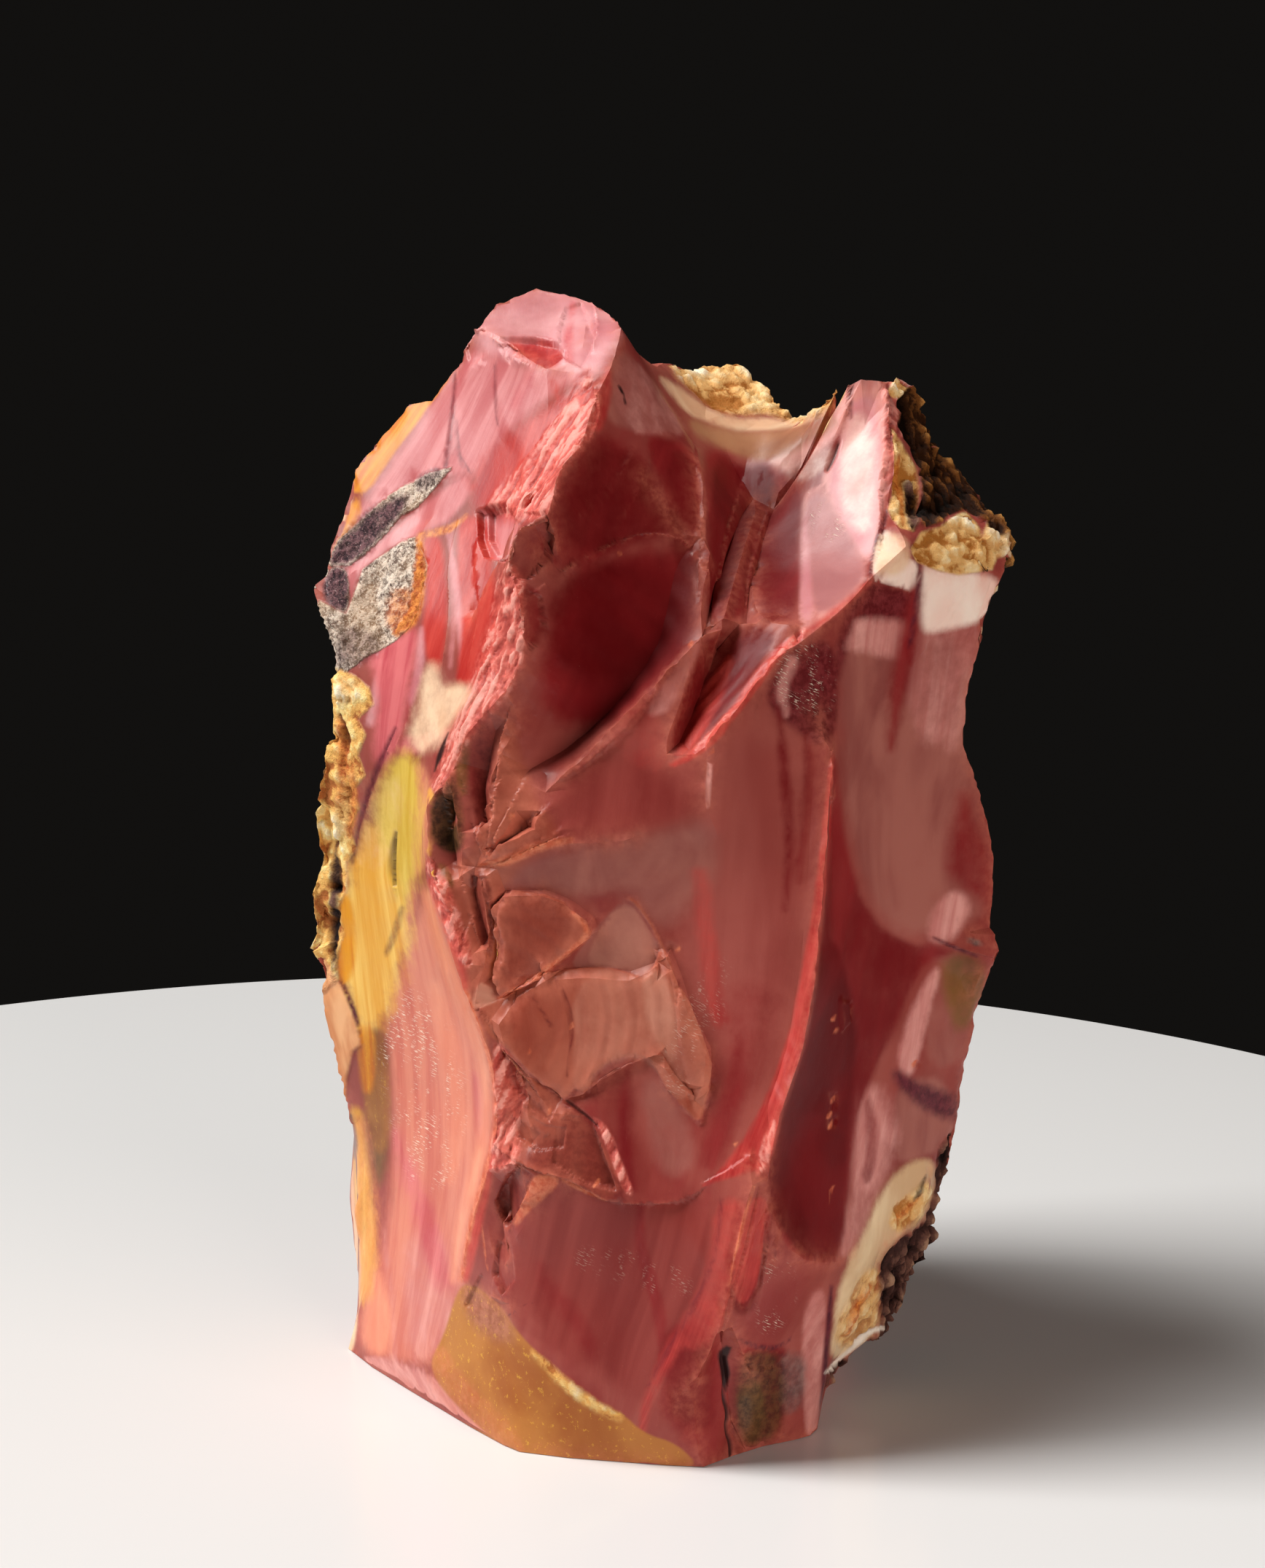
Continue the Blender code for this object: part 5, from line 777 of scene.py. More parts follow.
def paint_rear(marks):
    """The same bands as they come out on the back, and the crust that wraps round to it."""
    def patch(name, line, soft=2.0, most=6.0):
        marks.patch(name, line, soft, most, sheet="rear")

    def stroke(name, line, soft=0.6, most=6.0):
        marks.stroke(name, line, soft, most, sheet="rear")

    patch("dusk", [(46, 118), (20, 122), (4, 110), (8, 92), (26, 84), (46, 88), (52, 100)], 3.0, 0.8)
    patch("pink", [(30, 150), (40, 150), (44, 132), (34, 120), (24, 124), (26, 138)], 2.0, 0.9)
    patch("pink", [(10, 60), (26, 66), (34, 50), (30, 30), (18, 26), (8, 40)], 3.5, 0.5)
    patch("lilac", [(-26, 158), (-8, 162), (-2, 150), (-8, 136), (-22, 128), (-40, 118), (-44, 126),
                    (-34, 142)], 2.0)
    patch("wine", [(-6, 128), (6, 138), (14, 128), (12, 112), (0, 104), (-10, 112)], 2.5, 0.7)
    patch("wine", [(34, 84), (46, 80), (52, 66), (44, 46), (36, 40), (30, 56), (32, 72)], 2.0, 0.8)
    patch("wine", [(-30, 44), (-18, 50), (-6, 36), (-4, 18), (-14, 4), (-28, 8), (-34, 26)], 2.6, 0.4)
    patch("blood", [(-12, 112), (0, 104), (10, 84), (12, 60), (4, 62), (-2, 84), (-10, 98)], 2.0, 0.5)
    patch("blood", [(-28, 144), (-20, 142), (-12, 130), (-10, 124), (-24, 128), (-32, 136)], 4.0, -0.4)
    patch("bloom", [(-24, 152), (-14, 154), (-10, 144), (-20, 134), (-34, 126), (-30, 138)], 3.0, 0.2)
    patch("coral", [(-42, 52), (-34, 70), (-26, 60), (-24, 40), (-34, 26), (-42, 34)], 2.4)
    patch("butter", [(-44, 96), (-34, 105), (-27, 100), (-20, 92), (-18, 80), (-12, 70), (-8, 48),
                     (-15, 44), (-20, 58), (-27, 60), (-36, 74), (-46, 80)], 2.6, 0.9)
    patch("cream", [(-30, 100), (-20, 94), (-12, 70), (-10, 56), (-16, 66), (-26, 82), (-34, 94)], 2.0, 0.6)
    patch("cream", [(52, 122), (44, 122), (38, 116), (40, 108), (52, 110)], 1.6, 0.8)
    patch("moss", [(-36, 74), (-24, 62), (-16, 46), (-20, 42), (-30, 54), (-40, 64)], 2.2, 0.5)
    patch("ochre", [(-30, 14), (-10, 18), (6, 12), (16, 0), (-34, -2)], 1.4, 0.7)
    patch("salmon", [(12, 24), (24, 30), (32, 18), (28, 2), (14, 4)], 2.0, 0.7)
    stroke("plum", [(20, 122, 0.6), (22, 108, 1.4), (28, 94, 1.2), (30, 78, 0.4)], 0.8)
    stroke("plum", [(-2, 150, 0.4), (-4, 134, 1.0), (2, 120, 0.8), (6, 100, 0.3)], 0.7)
    stroke("plum", [(-8, 46, 0.4), (2, 38, 1.2), (10, 24, 1.0), (10, 6, 0.5)], 0.8)
    stroke("wine", [(18, 84, 1.0), (14, 62, 2.4), (16, 44, 1.6), (22, 24, 0.6)], 1.6)
    patch("gold", [(-60, 98), (-46.4, 101), (-45, 106), (-43.4, 99), (-42.4, 92), (-41, 87), (-42.6, 79),
                   (-41.6, 72), (-43.4, 66), (-44.6, 58), (-46, 66), (-60, 61)], 0.8)
    patch("druse", [(-60, 122), (-42, 121), (-40, 114), (-43, 106), (-60, 106)], 0.4)
    patch("honey", [(4, 160), (8, 146), (14, 139), (21, 137), (28, 141), (32, 150), (32, 160)], 0.5)
    patch("bronze", [(38, 160), (38, 146), (41, 134), (44, 125), (47, 120), (60, 120), (60, 160)], 0.5)
    patch("honey", [(44, 126), (46, 118), (60, 117), (60, 123), (50, 126)], 0.6, 0.5)
    patch("bark", [(60, 38), (46, 35), (43, 26), (38, 20), (35, 10), (31, 3), (27, -4), (60, -4)], 0.6)
    patch("gold", [(44, 33), (42, 26), (37, 19), (34, 10), (36, 9), (40, 18), (45, 25)], 0.6, 0.8)


PLATE_EDGE = 0.18                  # softness of the edge of a thin plate


def carve(marks):
    """Low steps too fine for the solid: lips of flakes, thin plates, striated and torn bands."""
    def plate(name, line):
        marks.patch(name, line, PLATE_EDGE, sharp=True)

    # two flake remnants in the middle, the scar between them and the chips below them
    plate("plate", [(-19.8, 70.2), (-18.7, 71.3), (-18, 72.6), (-13.5, 72.1), (-11, 71.3),
                    (-10, 70.8), (-9.3, 69.6), (-6.6, 68), (-5.9, 66.3), (-6.4, 65.5), (-9.8, 63.1),
                    (-12.1, 60.9), (-14.8, 59.2), (-19.8, 56.4), (-20.8, 57.8), (-21, 59.3),
                    (-19.5, 61.9), (-19.2, 64.6), (-20.2, 67.7)])
    plate("plate", [(-23.5, 55), (-19.8, 56), (-16.8, 57.8), (-12.8, 60.3), (-10.1, 60.5),
                    (-6.4, 60.9), (-3.4, 60.9), (-0.4, 59.9), (1.3, 59.2), (3, 60.2), (4.2, 63.8),
                    (3.4, 66), (1.7, 69), (-0.9, 71.7), (0.6, 71.4), (3.6, 66.6), (5.3, 62.6),
                    (7.1, 57.8), (8.5, 55.1), (10.1, 51.3), (11.8, 46.2), (11.4, 40.4), (10.2, 36.5),
                    (7.8, 39), (5.1, 42.4), (3.7, 45.2), (2.9, 46.4), (1.4, 47.2), (-0.3, 47.4),
                    (-3, 46.7), (-5, 45.2), (-6.3, 43.8), (-6.5, 42.1), (-7.3, 41.6), (-8.8, 42.5),
                    (-10, 40.4), (-12.2, 41.9), (-15.5, 44.7), (-19.2, 48.9)])
    plate("facet", [(5.8, 60), (7.1, 57.8), (8.5, 55.1), (10.1, 51.3), (11.8, 46.2), (11.4, 40.4),
                    (10.2, 36.5), (8.6, 40.8), (7.8, 46), (7.1, 50.4), (6.7, 54)])
    plate("chips", [(-46.4, 62), (-44.5, 60), (-42.8, 56), (-41.4, 52), (-40.8, 49), (-42, 48),
                    (-43, 44), (-43.4, 40), (-43.6, 36), (-46, 37)])
    plate("chips", [(31, 56), (32.6, 55.6), (32.8, 52.4), (31.4, 51)])
    plate("chips", [(11.4, 96), (14, 99), (13, 93), (11.6, 88.6)])
    # slanting scars of small flakes: outline, the way they deepen, and how steeply
    for line, heading, slope in (
            ([(-22.6, 129), (-18.5, 129.3), (-16.5, 127), (-17.6, 124), (-18.6, 121.5),
              (-21.4, 122.2), (-22.4, 125)], 190, 0.19),
            ([(-16.6, 128.6), (-13, 128.8), (-11.4, 126), (-12, 122), (-15, 119), (-18.1, 119.5),
              (-17.8, 122.5), (-16.6, 125)], -20, 0.22),
            ([(-16.4, 118), (-13.4, 116.4), (-12.6, 112), (-15, 108.4), (-16.6, 112)], -10, 0.22),
            ([(-19.5, 48), (-14, 43), (-11, 40.4), (-12.5, 37), (-16, 39.5), (-18.8, 43)], 215, 0.14),
            ([(-18, 39.4), (-13, 36.5), (-10, 36), (-10.5, 33), (-14, 32.5), (-17.4, 34.6)], 250, 0.15),
            ([(-11.6, 36.6), (-8.6, 39.4), (-6, 36.8), (-4.4, 32), (-2.4, 26.4), (-7, 27.4),
              (-12, 30.6)], -35, 0.12),
            ([(-20.8, 24.5), (-19, 28.6), (-17, 30), (-14.7, 28.4), (-17, 24), (-19.2, 20.4)], 200, 0.22),
            ([(16.2, 8), (17.4, 7), (19.4, 11), (20.4, 17), (20.4, 23.4), (18.6, 20), (16.6, 13)], 0, 0.14),
            ([(-19, 153.9), (-14, 153.7), (-10.6, 152.8), (-9.6, 151), (-12, 149.5), (-15.6, 150),
              (-17.8, 151.8)], 70, 0.26),
            ([(-10.4, 157.6), (-7.4, 158.8), (-5.2, 154), (-7.4, 149.6), (-9.4, 150.8)], 0, 0.14),
            ([(-21.6, 129.4), (-18.4, 130), (-16.6, 127), (-17.4, 122.4), (-19.4, 121.6),
              (-21.4, 125)], 180, 0.2),
            ([(-24.6, 153.6), (-21.6, 155), (-18.4, 152.2), (-20.6, 150), (-23.6, 150.6)], 150, 0.09),
            ([(-19.2, 152.6), (-17.2, 153), (-16.2, 151.2), (-17.6, 150.2)], 200, 0.19),
            ([(-27.4, 76.6), (-24.4, 75.8), (-23.4, 70), (-25.4, 65), (-27, 70)], 200, 0.15),
            ([(-24, 74.8), (-21.6, 74.8), (-20.4, 69), (-21.2, 62), (-23.2, 66)], 180, 0.15),
            ([(-20.4, 18), (-18.4, 17.4), (-18, 12), (-20, 9.6), (-21.4, 13)], 200, 0.19),
            ([(-25.8, 8), (-23.4, 12.6), (-21.2, 13), (-21.6, 8.4), (-24, 7)], 170, 0.12),
            ([(5.4, 63), (7.2, 58.6), (6.8, 55), (5.6, 58)], 0, 0.19),
            ([(31.6, 56), (33, 55.4), (32.8, 52.4), (31.6, 51)], 0, 0.19),
            ([(29.7, 41.4), (31, 41.4), (31, 39.6), (29.8, 39)], 0, 0.19),
            ([(29.6, 37.4), (31, 37.6), (30.6, 36), (29.5, 36)], 0, 0.19),
            ([(42, 46), (42.8, 46.6), (43.4, 46), (42.8, 45.2)], 90, 0.31),
            ([(15.8, -0.4), (20, 0.8), (24, 0.2), (23, -2), (18, -2.4)], 270, 0.12)):
        marks.scoop(line, heading, slope)
    # crisp edges of larger scars: line, height, and how far the raised side eases off
    for line, height, fade in (
            ([(-21.5, 34), (-18.4, 30.9), (-14, 29.2), (-10, 27.9), (-7.5, 26.8), (-4.5, 24.8),
              (-1, 24.3), (3, 24.1), (8, 24.4), (11.4, 27)], 0.9, 6.0),
            ([(11.2, 116), (10.7, 121), (8, 124.6), (3, 126), (-3, 124.4), (-10, 120.8),
              (-17, 115)], 0.7, 5.0),
            ([(-25.5, 91), (-24.4, 85), (-22, 77)], 0.45, 2.2),
            ([(-17.8, 101), (-20, 92), (-20.6, 84), (-22, 77)], 0.6, 3.0),
            ([(-13, 85.6), (-16.6, 82), (-22, 76.8)], 0.5, 2.0),
            ([(-9, 81.4), (-15, 79.2), (-22, 76)], 0.4, 2.0),
            ([(-28.6, 90), (-27, 84), (-26.4, 78)], 0.4, 1.2),
            ([(-15.6, 90), (-18.4, 84.6), (-22, 77.4)], 0.45, 1.4),
            ([(-11, 87), (-15, 82.6), (-21.6, 77)], 0.35, 1.2),
            ([(-6.6, 83.6), (-12, 81.4), (-20, 77)], 0.35, 1.2),
            ([(-19, 90.6), (-21, 86), (-23.4, 80)], 0.4, 1.0),
            ([(-25.6, 75.8), (-24.6, 70), (-22.6, 63.6)], 0.45, 1.2),
            ([(-22.4, 75.4), (-21.4, 70), (-20.6, 64)], 0.4, 1.0),
            ([(-19, 47.6), (-15.4, 44), (-13.4, 39.4)], 0.35, 0.9),
            ([(-17.6, 43), (-14.4, 40), (-12, 36.4)], 0.35, 0.9),
            ([(-19.4, 38.6), (-15.4, 36), (-11.6, 34.4)], 0.35, 0.9),
            ([(-8, 91), (-2, 95.4), (3, 101), (7, 108)], 0.35, 2.0),
            ([(-11, 89), (-5, 92.6), (-1, 97)], 0.25, 1.6),
            ([(19.5, 28), (17.4, 18), (14.6, 8), (13.4, 1)], 0.5, 3.0),
            ([(21, 25), (20.4, 16), (19, 8), (17, 5)], 0.3, 1.6),
            ([(34.6, 119), (36.6, 126), (36, 131), (37.5, 140), (36.6, 148)], 0.6, 2.0),
            ([(40, 104), (42, 107.6), (44.4, 111.7), (46.6, 115.4), (49.4, 119.8)], 0.3, 1.5),
            ([(43, 106.6), (45.4, 111.4), (47.6, 115), (50.6, 119.6)], 0.25, 1.2),
            ([(47.4, 108), (49.6, 112), (51.4, 116), (52.6, 119.6)], 0.3, 1.2),
            ([(20.6, 104), (18.7, 101.6), (18.2, 98.6), (20, 96)], 0.2, 0.8),
            ([(22.8, 105), (21.4, 102), (21.6, 98)], 0.15, 0.7),
            ([(-25.4, 128), (-27, 120), (-26.6, 112), (-28.4, 103)], 0.5, 3.0),
            ([(-21.8, 128.4), (-23.2, 122), (-22, 114), (-24.4, 105)], 0.35, 2.5),
            ([(-25.2, 150), (-26, 143), (-27.4, 135)], 0.2, 2.0),
            ([(-19.4, 150), (-20, 145), (-18.6, 139.6), (-15.4, 137)], 0.2, 2.0),
            ([(-35, 71), (-35.8, 75.4), (-35.6, 78.6), (-35, 82.4)], 0.35, 1.2),
            ([(-34.4, 98), (-37, 91), (-39.4, 85), (-41.4, 78)], 0.4, 1.2),
            ([(-32.6, 99.5), (-35.4, 93), (-37.4, 88)], 0.3, 0.9),
            ([(29.6, 64), (29.4, 80), (29.6, 96), (30.6, 111)], 0.25, 1.2),
            ([(18.6, 32.4), (15, 29.6), (10.2, 27.2)], 0.5, 1.6),
            ([(-10.6, 111), (-10.8, 104), (-13, 97), (-17, 92)], 0.2, 1.4),
            ([(-12.4, 112), (-12.6, 105), (-14.6, 99), (-18, 94)], 0.2, 1.2),
            ([(-14.2, 113), (-14.4, 106), (-16.2, 101)], 0.2, 1.0),
            ([(9, 139), (9.8, 131), (10.2, 124), (9.6, 116)], 0.5, 1.6),
            ([(16.4, 134.6), (13.4, 126), (12, 118), (11.4, 112)], 0.5, 2.0),
            ([(20, 130), (17, 122), (16.4, 113)], 0.4, 2.0),
            ([(1.6, 142), (-2.4, 133), (-8.6, 128), (-13, 127)], 0.35, 3.0),
            ([(-2.6, 126), (1, 132), (3.4, 139)], 0.3, 2.5),
            ([(17.4, 132.4), (21, 135.4), (25, 138), (30, 141)], 0.3, 2.0),
            ([(31, 142), (31.2, 146), (32, 149)], 0.4, 0.8),
            ([(-20, 20), (-16, 25), (-11, 27.6)], 0.35, 1.5),
            ([(1.4, 24), (1.2, 17), (3, 11), (4.6, 3)], 0.12, 1.5),
            ([(44, 65.4), (48, 64), (54.6, 62.2)], 0.4, 1.5),
            ([(-14, 149.6), (-17, 151), (-19.4, 153.8), (-24.4, 155.8)], 0.5, 1.6),
            ([(-8, 149.6), (-10.4, 151), (-10.6, 155), (-9.4, 158.6)], 0.45, 1.4),
            ([(-20.4, 152.6), (-22.6, 150), (-25.4, 148.6)], 0.3, 1.0),
            ([(-5.6, 158.6), (-5, 155), (-6, 151.4)], 0.4, 0.8),
            ([(-6, 148), (-4.8, 143.6), (-6.6, 138.4)], 0.5, 1.2),
            ([(-7.6, 146.4), (-12, 140.6), (-16.8, 134.6)], 0.4, 1.2),
            ([(-9.6, 142), (-13, 137), (-17.4, 132)], 0.35, 0.9)):
        marks.lip(line, height, fade, min(1.0, max(0.0, 1.6 * height - 0.25)))
    # stepped bands where the fracture ran in fine parallel ridges
    marks.patch("stria", [(10.5, 110.6), (15.6, 112.2), (22.5, 112.2), (27, 111.6), (18.3, 103),
                          (10, 93), (5.3, 91), (6.8, 100)], 1.0)
    marks.patch("flutes", [(10, 139), (14, 137), (18, 131), (19, 122), (17, 112), (10, 111), (8, 124)], 1.2)
    marks.patch("flutes", [(13.4, 27), (17.5, 24), (16, 12), (13, 0), (4, -12), (1.7, -12.9), (10, 0),
                           (14, 14)], 1.0)
    marks.patch("flutes", [(27.5, 94), (29.4, 92), (28.4, 66), (25.6, 50), (20.5, 34), (15, 28), (22, 44),
                           (26.4, 68)], 0.8)
    marks.patch("rings", [(-21, 55), (-16, 58), (-8, 60.6), (0, 59.4), (5, 62), (8, 54), (9, 42),
                          (0, 47), (-9, 41.6), (-19, 49)], 1.0)
    marks.patch("rings", [(-20, 69), (-17, 72), (-10, 70), (-7, 66), (-13, 60), (-20, 57)], 1.0, 0.4)
    marks.patch("swells", [(-12, 120), (0, 124), (8, 120), (8, 108), (2, 98), (-8, 95), (-15, 100),
                           (-15, 110)], 3.0)
    marks.stroke("crack", [(13.8, -0.5, 0.5), (14.4, -4, 0.7), (13.9, -7, 0.3), (14.9, -9.4, 0.7),
                           (14.4, -12, 0.4), (15.3, -15, 0.5), (14.9, -17.5, 0.4)], 0.3)
    marks.stroke("crack", [(29.9, 138.8, 0.4), (29.1, 136.8, 0.9), (28.2, 134.8, 0.3)], 0.3)
    marks.stroke("crack", [(-10, 40.3, 0.5), (-8.3, 39, 0.6), (-6.5, 37.5, 0.4), (-5.2, 36.2, 0.2)], 0.3)
    marks.stroke("crack", [(-35.2, 81.4, 0.2), (-35.6, 78.6, 0.6), (-35.8, 75.8, 0.9), (-35.4, 73.4, 0.2)],
                 0.3)


def marked(points, faces):
    marks = Marks(points, point_normals(points, faces))
    for step in (paint_roses, paint_reds, paint_flakes, paint_yellows, paint_veins, paint_crusts,
                 paint_bruises, paint_rear, carve):
        step(marks)
    return marks


def within(marks, margin, *names):
    return np.any([marks.fields[name] > -margin for name in names], axis=0)


def border(marks, margin, *names):
    return np.any([np.abs(marks.fields[name]) < margin for name in names], axis=0)


def rugged(spots, size, octaves):
    """Uneven ground about zero, its largest lumps about the given size across."""
    return np.array([noise.fractal(Vector(spot), 0.6, 2.1, octaves) for spot in spots / size])


def grains(spots, size):
    """Rounded grains packed together: one on top of each and zero between them."""
    near = (noise.voronoi(Vector(spot))[0] for spot in spots / size)
    return np.array([min(1.0, 2.0 * (second - first)) for first, second, *_ in near])


def crumbly(spots):
    return 1.0 * rugged(spots, 6.0, 5) + 0.7 * grains(spots, 3.2) + 0.25 * grains(spots, 1.3) - 0.5


def bladed(spots):
    """Bark-like blades standing on edge along one direction."""
    turned = spots @ np.array(((0.8, 0.2, 0.16), (0.6, 0.2, -0.12), (0.0, 0.1, 0.5)))
    return 1.0 * rugged(spots, 5.0, 3) + 1.0 * grains(turned, 1.7) - 0.6


def torn_up(spots):
    """Splinters along the ridges, which climb to the right."""
    turned = spots @ np.array(((0.88, 0.0, 0.06), (0.0, 0.8, 0.0), (-0.48, 0.0, 0.11)))
    return 1.5 * rugged(turned, 1.1, 4) + 0.2 * grains(spots, 1.6) - 0.1


def crystals(spots):
    return 0.6 * grains(spots, 1.0) + 0.6 * rugged(spots, 3.0, 4) - 0.3


# the skin is divided again in view and along veins, then at steps and crust, then at edges
CRUSTS = ("druse", "gold", "honey", "bark", "bronze")
marks = marked(points, faces)
in_view = (marks.front > 0) | within(marks, 1.0, *CRUSTS) | within(marks, 4.0, "plum")
points, faces, sharp_keys = divided(points, faces, sharp_keys, in_view)
marks = marked(points, faces)
stepped = within(marks, 1.5, "pit", "crack") | border(marks, 1.5, "plate", "chips", "facet")
rough = within(marks, 0.5, "torn", *CRUSTS) & (points[:, 2] > 0.3)
chosen = (stepped | rough | (marks.close < 0.4)) & (marks.front > 0.5)
points, faces, sharp_keys = divided(points, faces, sharp_keys, chosen, rounding=False)
marks = marked(points, faces)
chosen = (within(marks, 0.5, "crack") | (marks.close < 0.12)) & (marks.front > 0.5)
points, faces, sharp_keys = divided(points, faces, sharp_keys, chosen, rounding=False)
marks = marked(points, faces)

# how far each point is from an arris that stands out
edges, _, beside, facing = edges_of(faces, len(points))
facets = unit(face_normals(points, faces))
outward = ((points[facing[:, 1]] - points[edges[:, 0]]) * facets[beside[:, 0]]).sum(axis=1)
along_arris = (np.isin(keyed(edges, len(points)), sharp_keys) & (outward < 0)
               & (turn_at(beside, facets) > ARRIS_TURN))
arris_spots = points[edges[along_arris]].mean(axis=1)
tree = kdtree.KDTree(len(arris_spots))
for number, spot in enumerate(arris_spots):
    tree.insert(spot, number)
tree.balance()
from_arris = np.array([tree.find(spot)[2] for spot in points])

# all relief in millimetres: plates and chips stand up, cracks go in, arrises are worn down
PLATE_STEP, FACET_STEP, CHIP_STEP, CRACK_DEPTH = 0.32, 0.25, 0.3, 0.45
WORN_BREADTH, MOST_WORN = 0.8, 0.6
height = points[:, 2].copy()
lift = marks.lift + 0.06 * rugged(points, 9.0, 3)
lift += (PLATE_STEP * marks.amount("plate") + FACET_STEP * marks.amount("facet")
         + CHIP_STEP * marks.amount("chips"))
lift -= CRACK_DEPTH * marks.amount("crack")
wear = np.clip(0.55 * rugged(points, 3.0, 3) + 0.1, 0, MOST_WORN)
lift -= np.where(from_arris < 3, np.exp(-(from_arris / WORN_BREADTH) ** 2) * wear, 0)
# ripples of the fracture: striae, flutes, and rings about the blow and the bulb below it
sheet_spots = on_sheet(points)
BLOW, BULB = (-23.0, 53.0), (-20.0, 88.0)
across = sheet_spots @ np.array((0.80, -0.60))
lift += 0.13 * marks.amount("stria") * np.sin(across * 4.2 + 1.5 * np.sin(sheet_spots[:, 1] * 0.4))
bend = sheet_spots[:, 0] + 2.0 * np.sin(sheet_spots[:, 1] * 0.12)
lift += 0.08 * marks.amount("flutes") * np.sin(bend * 3.6 + np.sin(sheet_spots[:, 1] * 0.9))
from_blow = np.linalg.norm(sheet_spots - np.array(BLOW), axis=1)
lift += 0.07 * marks.amount("rings") * np.sin(from_blow * 3.1 + np.sin(from_blow * 1.3))
from_bulb = np.linalg.norm(sheet_spots - np.array(BULB), axis=1)
lift += 0.10 * marks.amount("swells") * np.sin(from_bulb * 1.5)
# crust and torn bands: how deep each is, and what it is made like
knobs = np.zeros(len(points))
for name, depth, made in (("torn", 0.32, torn_up), ("druse", 0.7, crystals), ("gold", 0.4, crumbly),
                          ("honey", 0.8, crumbly), ("bark", 1.2, bladed), ("bronze", 1.2, bladed)):
    amount = marks.amount(name)
    chosen = np.nonzero(amount > 0)[0]
    rise = made(points[chosen])
    lift[chosen] += depth * amount[chosen] * rise
    knobs[chosen] = np.where(amount[chosen] > 0.3, rise, knobs[chosen])
points = points + (lift * np.clip(height, 0, 1))[:, None] * point_normals(points, faces)
points[:, 2] = np.where(height < ON_THE_GROUND, height, np.maximum(points[:, 2], 2 * ON_THE_GROUND))

mesh = bpy.data.meshes.new("jasper_skin")
mesh.from_pydata((points * MM).tolist(), [], faces.tolist())
mesh.shade_smooth()
pairs = np.empty(len(mesh.edges) * 2, np.int32)
mesh.edges.foreach_get("vertices", pairs)
firm = np.isin(keyed(pairs.reshape(-1, 2), len(points)), sharp_keys)
mesh.attributes.new("sharp_edge", "BOOLEAN", "EDGE").data.foreach_set("value", firm)
ONLY_RELIEF = ("plate", "facet", "chips", "crack", "stria", "flutes", "rings", "swells")
for name, field in marks.fields.items():
    if name not in ONLY_RELIEF:
        mesh.attributes.new(name, "FLOAT", "POINT").data.foreach_set("value", field.astype(np.float32))
# lines: how strong the painted highlight is along lips, scar edges and the edges of plates
plate_line = np.exp(-np.abs(marks.fields["plate"]) * PLATE_EDGE / SCAR_EDGE) * marks.front
for name, values in (("arris", np.exp(-from_arris / 1.2)), ("knobs", knobs),
                     ("lines", np.maximum(marks.lines, 0.8 * plate_line))):
    mesh.attributes.new(name, "FLOAT", "POINT").data.foreach_set("value", values.astype(np.float32))
# streaks keep pace with the long arrises: left edge, edge of the left scar, red ridge, right edge
HEIGHTS = (-15, 0, 11, 30, 50, 75, 95, 112, 130, 150)
COURSES = ((-45, (-33, -44, -43, -43, -43, -44, -44, -46, -40, -26)),
           (-22, (-18, -29, -26, -21.5, -22.5, -29.5, -27, -19, -16, -10)),
           (23, (1, 9, 13, 17, 24, 28, 29.5, 31, 35, 37)),
           (50, (28, 33, 40, 47, 50, 54, 51, 53, 54, 46)))
lines_at = np.stack([np.interp(sheet_spots[:, 1], HEIGHTS, course) for _, course in COURSES])
evened = sheet_spots[:, 0] - lines_at[0] + COURSES[0][0]
for (low, _), (high, _), left, right in zip(COURSES, COURSES[1:], lines_at, lines_at[1:]):
    share = (sheet_spots[:, 0] - left) / (right - left)
    evened = np.where(share > 0, low + share * (high - low), evened)
for name, flat in (("sheet", np.column_stack([sheet_spots, np.zeros(len(points))])),
                   ("grain", np.column_stack([evened, points[:, 1], sheet_spots[:, 1]]))):
    mesh.attributes.new(name, "FLOAT_VECTOR", "POINT").data.foreach_set(
        "vector", flat.astype(np.float32).reshape(-1))
stone = bpy.data.objects.new("jasper_stone", mesh)
bpy.context.scene.collection.objects.link(stone)
print("stone skin:", len(points), "points,", len(faces), "triangles")


class Wire:
    """A socket of the jasper's shader, so that what is done with it reads as arithmetic."""
    tree = None

    def __init__(self, socket):
        self.socket = socket

    @classmethod
    def add(cls, kind, settings, values, out=0):
        node = cls.tree.nodes.new(kind)
        for name, value in settings.items():
            setattr(node, name, value)
        for name, value in values.items():
            if isinstance(value, Wire):
                cls.tree.links.new(value.socket, node.inputs[name])
            else:
                node.inputs[name].default_value = value
        return cls(node.outputs[out])

    @classmethod
    def maths(cls, operation, *values):
        return cls.add("ShaderNodeMath", {"operation": operation}, dict(enumerate(values)))

    def __add__(self, other):
        return self.maths("ADD", self, other)

    def __sub__(self, other):
        return self.maths("SUBTRACT", self, other)

    def __rsub__(self, other):
        return self.maths("SUBTRACT", other, self)

    def __mul__(self, other):
        return self.maths("MULTIPLY", self, other)

    __radd__, __rmul__ = __add__, __mul__

    def between(self, low, high):
        """From zero at low to one at high, smoothly."""
        return self.add("ShaderNodeMapRange", {"interpolation_type": "SMOOTHSTEP"},
                        {"Value": self, "From Min": low, "From Max": high})

    def moved(self, scale, offset=(0, 0, 0)):
        """The place with each axis scaled, then moved."""
        return self.add("ShaderNodeVectorMath", {"operation": "MULTIPLY_ADD"},
                        {0: self, 1: scale, 2: offset})

    def turned(self, angles):
        return self.add("ShaderNodeVectorRotate", {"rotation_type": "EULER_XYZ"},
                        {"Vector": self, "Rotation": angles})


def mixed(share, under, over):
    return Wire.add("ShaderNodeMix", {"data_type": "RGBA"}, {0: share, 6: under, 7: over}, 2)


